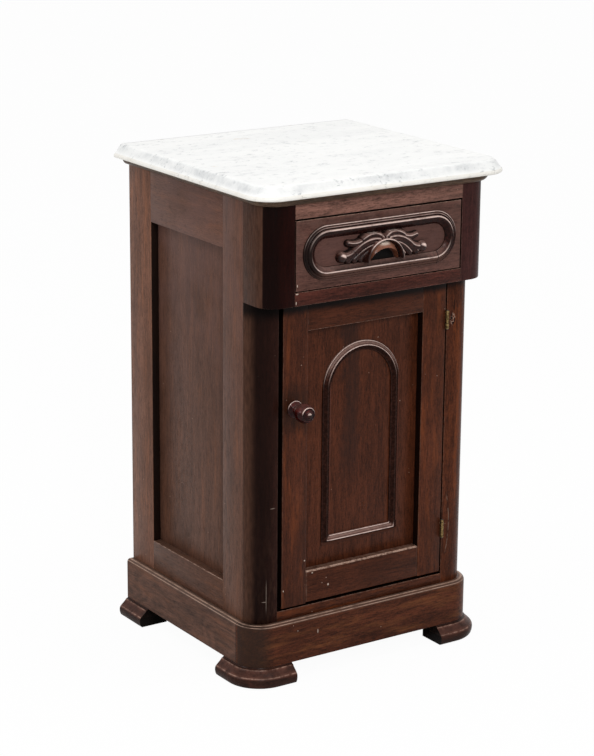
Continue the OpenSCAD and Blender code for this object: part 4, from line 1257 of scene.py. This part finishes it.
class DrawerPull(bpy.types.Operator):
    """Carved pull: domed leaves, a ball at each end, a rib and a lip for the fingers"""

    bl_idname = "cupboard.drawer_pull"
    bl_label = "Carved pull"

    cell = 0.55 * MM

    def execute(self, context):
        low, high = PULL_LOW, PULL_HIGH
        width, height = high.x - low.x, high.z - low.z
        centre = (0, FRONT_Y, (low.z + high.z) / 2)
        deselect()
        bpy.ops.mesh.primitive_grid_add(
            x_subdivisions=round(width / self.cell), y_subdivisions=round(height / self.cell),
            size=1, location=centre, rotation=(radians(90), 0, 0))
        piece = named(bpy.context.object, "carved_pull")
        bpy.ops.object.transform_apply(location=True, rotation=True, scale=True)
        with edit_mode():
            bpy.ops.transform.resize(value=(width, 1, height), center_override=centre)
        mesh = piece.data
        place = np.array([v.co for v in mesh.vertices])
        rise, crest, lip = relief(place[:, 0] / MM, (place[:, 2] - low.z) / MM)
        paint(piece, "crest", crest)
        paint(piece, "lip", lip)
        paint(piece, "rise", rise * MM)
        with edit_mode():
            form = bmesh.from_edit_mesh(mesh)
            layer = form.verts.layers.float["rise"]
            bare = [f for f in form.faces if min(v[layer] for v in f.verts) < 0.3 * MM]
            bmesh.ops.delete(form, geom=bare, context="FACES")
            bmesh.update_edit_mesh(mesh)
            bpy.ops.mesh.extrude_region_move()
            form = bmesh.from_edit_mesh(mesh)
            layer = form.verts.layers.float["rise"]
            for vertex in [v for v in form.verts if v.select]:
                vertex.co.y = FRONT_Y - vertex[layer]
            bmesh.update_edit_mesh(mesh)
        mesh.attributes.remove(mesh.attributes["rise"])
        tidy_skin(piece)
        paint_lit(piece, 0.4)
        smooth(piece, 60)
        dark = moulded_walnut("pull_walnut", srgb(60, 31, 25), 9, 0.22, 0.14, 0.68, lip_wear_and_light)
        mount(piece, "drawer", dark, "drawer_pull")
        return {"FINISHED"}


# ---------------------------------------------------------------- door


class Door(bpy.types.Operator):
    """Door frame and its panel"""

    bl_idname = "cupboard.door"
    bl_label = "Door"

    # Grain, shade, gap below, wear of lower edges, sides painted in shade, painted light on the
    # upper face
    boards = {
        "door_latch_stile": ("Z", 0.95, 1.3 * MM, 0.0, ("+X", "-X"), 0.0),
        "door_hinge_stile": ("Z", 1.1, 2.6 * MM, 0.0, ("-X", "+X"), 0.0),
        "door_top_rail": ("X", 0.95, 0.0, 0.6, ("-Z",), 0.0),
        "door_bottom_rail": ("X", 0.9, 2.6 * MM, 0.0, ("-Z",), 0.2),
    }

    def execute(self, context):
        tone = context.scene.cupboard_finish.front_wood
        latch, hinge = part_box("door_latch_stile"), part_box("door_hinge_stile")
        for seed, (node, row) in enumerate(self.boards.items(), 81):
            grain, shade, gap, drop, dark, ledge = row
            low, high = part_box(node)
            low.z += gap
            if grain == "X":
                low.x, high.x = latch[1].x, hinge[0].x
            high.x = min(high.x, hinge[1].x - 0.9 * MM)
            width, wear_and_gleam = (2.2 * MM, 1.5) if node == "door_bottom_rail" else (None, 1.0)
            piece = board(node + "_board", low, high, width, wear_and_gleam, drop, dark, ledge)
            varnished(piece, node, grain, toned(tone, shade), seed,
                      toned(tone, 1.7) if grain == "X" else None, body="door", depth=0.66,
                      marks=handled if node == "door_latch_stile" else shaded)
        piece = board("door_panel_board", *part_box("door_panel"), 0.2 * MM)
        varnished(piece, "door_panel", "Z", toned(tone, 0.94), 87, toned(tone, 1.9), 0.5,
                  marks=smudge, depth=0.7, body="door")
        return {"FINISHED"}


class ArchMoulding(bpy.types.Operator):
    """Arched moulding planted on the door panel, with mitres at its foot"""

    bl_idname = "cupboard.arch_moulding"
    bl_label = "Arched moulding"

    def execute(self, context):
        steps = context.scene.cupboard_sizes.facets * 2
        radius, spring = ARCH_R - ARCH_BAND, ARCH_HIGH.z - ARCH_R
        stations = []
        for i in range(steps + 1):
            a = pi * i / steps
            stations.append((ARCH_X + radius * cos(a), spring + radius * sin(a), cos(a), sin(a)))
        near, foot = 2 * MM, ARCH_LOW.z + ARCH_BAND
        for x, z, out_x, out_z in (
            (-radius, near, -1, 0), (-radius, 0, -1, -1), (near - radius, 0, 0, -1),
            (radius - near, 0, 0, -1), (radius, 0, 1, -1), (radius, near, 1, 0),
        ):
            stations.append((ARCH_X + x, foot + z, out_x, out_z))
        piece = planted("door_arch", ARCH_SECTION, ARCH_BAND, ARCH_HIGH.y - ARCH_LOW.y,
                        ARCH_HIGH.y, stations)
        dark = moulded_walnut("arch_walnut", srgb(58, 31, 23), 7, shine=0.02, pale=0.95,
                              marks=arch_marks, sheen=0.35)
        mount(piece, "door", dark, "arch_moulding")
        return {"FINISHED"}


class Hinges(bpy.types.Operator):
    """Brass butt hinges and their screws"""

    bl_idname = "cupboard.hinges"
    bl_label = "Hinges"

    def execute(self, context):
        brass_copy("hinge_frame_leaves", "case", 0.25 * MM)
        brass_copy("hinge_door_leaves", "door", 0.25 * MM)
        dull = steel("hinge_screw_steel")
        for node in ("hinge_pins", "hinge_frame_screws", "hinge_door_screws"):
            paint_node(node, dull)
        return {"FINISHED"}


# Turned knob: (radius, distance in front of the door, paleness), in mm; paleness sets its painted
# highlights and shade
KNOB = [
    (12.4, 0.3, 0), (13.0, 0.9, 0.5), (13.0, 2.0, 0.8), (12.4, 2.8, 1.0), (11.2, 3.1, 0.4),
    (10.8, 3.6, 0.2), (9.4, 4.2, 0.7), (7.6, 5.0, 0.6), (6.8, 6.2, 0.5), (6.4, 8.0, 0.5),
    (6.6, 9.8, 0.5), (7.4, 11.2, 0.5), (8.5, 12.0, 0.9), (8.7, 12.7, 0.9), (8.3, 13.3, 0.3),
    (8.0, 13.7, 0.1), (9.6, 14.8, 0.4), (11.6, 16.6, 0.5), (13.4, 19.4, 0.5), (14.3, 22.8, 0.5),
    (14.5, 26.2, 0.6), (14.2, 29.8, 0.5), (13.1, 33.2, 0.5), (11.6, 36.0, 0.8), (10.6, 37.4, 1.0),
    (9.9, 37.7, 0.7), (9.2, 37.0, 0.1), (8.2, 36.8, 0.1), (7.2, 37.2, 0.4), (5.6, 37.8, 0.3),
    (4.9, 38.0, 0.1), (4.4, 39.0, 0.7), (3.2, 40.3, 0.9), (1.6, 41.2, 0.9), (0.3, 41.4, 0.8),
]


class KnobAndCatch(bpy.types.Operator):
    """Turned knob with its spindle and the catch behind the door"""

    bl_idname = "cupboard.knob"
    bl_label = "Knob and catch"

    def execute(self, context):
        steps = context.scene.cupboard_sizes.facets * 4
        turn = [(cos(2 * pi * i / steps), sin(2 * pi * i / steps)) for i in range(steps)]
        rings = [[(KNOB_X + r * MM * x, LOWER_Y - d * MM, KNOB_Z + r * MM * z) for x, z in turn]
                 for r, d, _ in KNOB]
        piece = loft("turned_knob", rings)

        def paleness(point):
            r = dist((point.x, point.z), (KNOB_X, KNOB_Z)) / MM
            d = (LOWER_Y - point.y) / MM
            return min(KNOB, key=lambda row: abs(row[0] - r) + abs(row[1] - d))[2]

        paint(piece, "crest", (paleness(v.co) for v in piece.data.vertices))
        smooth(piece, 60)
        red = moulded_walnut("knob_walnut", srgb(54, 11, 9), 13, 0.06, 0.11, 0.2)
        mount(piece, "catch", red, "door_knob")
        for node in ("knob_spindle", "turn_catch"):
            brass_copy(node, "catch", 0.4 * MM)
        return {"FINISHED"}


# ---------------------------------------------------------------- stage

CAMERA_PLACE = (-1.9633, -2.8936, 1.4120)
CAMERA_YAW, CAMERA_PITCH, CAMERA_ROLL = -33.85, 16.0, 0.49
IMAGE_WIDTH, FOCAL_PIXELS, SENSOR = 594, 2378, 36


class Studio(bpy.types.Operator):
    """White floor, soft light and the camera"""

    bl_idname = "cupboard.studio"
    bl_label = "Studio"

    def execute(self, context):
        self.world(context.scene)
        self.floor()
        self.lamp("key_softbox", (-1.4, -2.8, 2.4), 0.9, 40)
        self.lamp("side_softbox", (-3.0, 0.4, 1.7), 1.1, 18)
        self.lamp("top_softbox", (0.4, -0.6, 3.0), 1.2, 15)
        self.camera(context.scene)
        return {"FINISHED"}

    @staticmethod
    def world(scene):
        world = bpy.data.worlds.new("studio_world")
        world.use_nodes = True
        scene.world = world
        nodes, links = world.node_tree.nodes, world.node_tree.links
        back = nodes["Background"]
        back.inputs["Color"].default_value = (1, 1, 1, 1)
        path = nodes.new("ShaderNodeLightPath")
        seen = nodes.new("ShaderNodeMath")
        seen.operation = "MAXIMUM"
        links.new(path.outputs["Is Camera Ray"], seen.inputs[0])
        links.new(path.outputs["Is Glossy Ray"], seen.inputs[1])
        level = nodes.new("ShaderNodeMapRange")
        level.inputs["To Min"].default_value = 0.62
        level.inputs["To Max"].default_value = 1.0
        links.new(seen.outputs[0], level.inputs["Value"])
        links.new(level.outputs[0], back.inputs["Strength"])

    @staticmethod
    def floor():
        deselect()
        bpy.ops.mesh.primitive_plane_add(size=14, location=(0, 2, 0))
        floor = named(bpy.context.object, "studio_floor")
        sheet = Sheet("studio_white")
        sheet.base, sheet.rough = (0.93, 0.93, 0.93), 0.9
        sheet.finish(Specular_IOR_Level=0.0)
        nodes, links = sheet.tree.nodes, sheet.tree.links
        glow = nodes.new("ShaderNodeEmission")
        glow.inputs["Strength"].default_value = 1.0
        path = nodes.new("ShaderNodeLightPath")
        share = sheet.node("ShaderNodeMath", {"operation": "MULTIPLY"},
                           Wire(sheet, path.outputs["Is Camera Ray"]), 0.96)
        blend = nodes.new("ShaderNodeMixShader")
        output = nodes["Material Output"]
        links.new(share.socket, blend.inputs[0])
        links.new(sheet.shader.outputs[0], blend.inputs[1])
        links.new(glow.outputs[0], blend.inputs[2])
        links.new(blend.outputs[0], output.inputs["Surface"])
        floor.data.materials.append(sheet.material)

    @staticmethod
    def lamp(name, place, size, power):
        data = bpy.data.lights.new(name, "AREA")
        data.shape = "DISK"
        data.size = size
        data.energy = power
        lamp = bpy.data.objects.new(name, data)
        bpy.context.scene.collection.objects.link(lamp)
        lamp.location = place
        aim = Vector((0, 0, 0.4)) - Vector(place)
        lamp.rotation_euler = aim.to_track_quat("-Z", "Y").to_euler()

    @staticmethod
    def camera(scene):
        data = bpy.data.cameras.new("camera")
        data.sensor_fit = "HORIZONTAL"
        data.sensor_width = SENSOR
        data.lens = FOCAL_PIXELS / IMAGE_WIDTH * SENSOR
        data.clip_end = 100
        camera = bpy.data.objects.new("camera", data)
        scene.collection.objects.link(camera)
        yaw, pitch, roll = radians(CAMERA_YAW), radians(CAMERA_PITCH), radians(CAMERA_ROLL)
        ahead = Vector((-sin(yaw) * cos(pitch), cos(yaw) * cos(pitch), -sin(pitch)))
        right = Vector((cos(yaw), sin(yaw), 0))
        up = right.cross(ahead)
        turned_right = right * cos(roll) + up * sin(roll)
        turned_up = up * cos(roll) - right * sin(roll)
        rotation = Matrix((turned_right, turned_up, -ahead)).transposed()
        camera.matrix_world = Matrix.Translation(CAMERA_PLACE) @ rotation.to_4x4()
        scene.camera = camera
        scene.view_settings.view_transform = "Standard"


# ---------------------------------------------------------------- panel and main

STEPS = (
    MarbleTop, WoodenTop, SideFrames, CornerPosts, FrontRails, CaseInside, Plinth, Feet, Drawer,
    DrawerMoulding, DrawerPull, Door, ArchMoulding, Hinges, KnobAndCatch, Studio,
)


class CUPBOARD_PT_pieces(bpy.types.Panel):
    """Lists the cupboard's pieces, in the order in which they are made"""

    bl_label = "Pot cupboard"
    bl_space_type = "VIEW_3D"
    bl_region_type = "UI"
    bl_category = "Cupboard"

    def draw(self, context):
        for group in (context.scene.cupboard_sizes, context.scene.cupboard_finish):
            box = self.layout.box()
            for key in group.__annotations__:
                box.prop(group, key)
        for step in STEPS:
            self.layout.operator(step.bl_idname)


CLASSES = (CupboardSizes, CupboardFinish, *STEPS, CUPBOARD_PT_pieces)


def register():
    for cls in CLASSES:
        bpy.utils.register_class(cls)
    bpy.types.Scene.cupboard_sizes = PointerProperty(type=CupboardSizes)
    bpy.types.Scene.cupboard_finish = PointerProperty(type=CupboardFinish)


def unregister():
    del bpy.types.Scene.cupboard_finish
    del bpy.types.Scene.cupboard_sizes
    for cls in reversed(CLASSES):
        bpy.utils.unregister_class(cls)


def main():
    register()
    for step in STEPS:
        group, name = step.bl_idname.split(".")
        getattr(getattr(bpy.ops, group), name)()
    deselect()


if __name__ == "__main__":
    main()
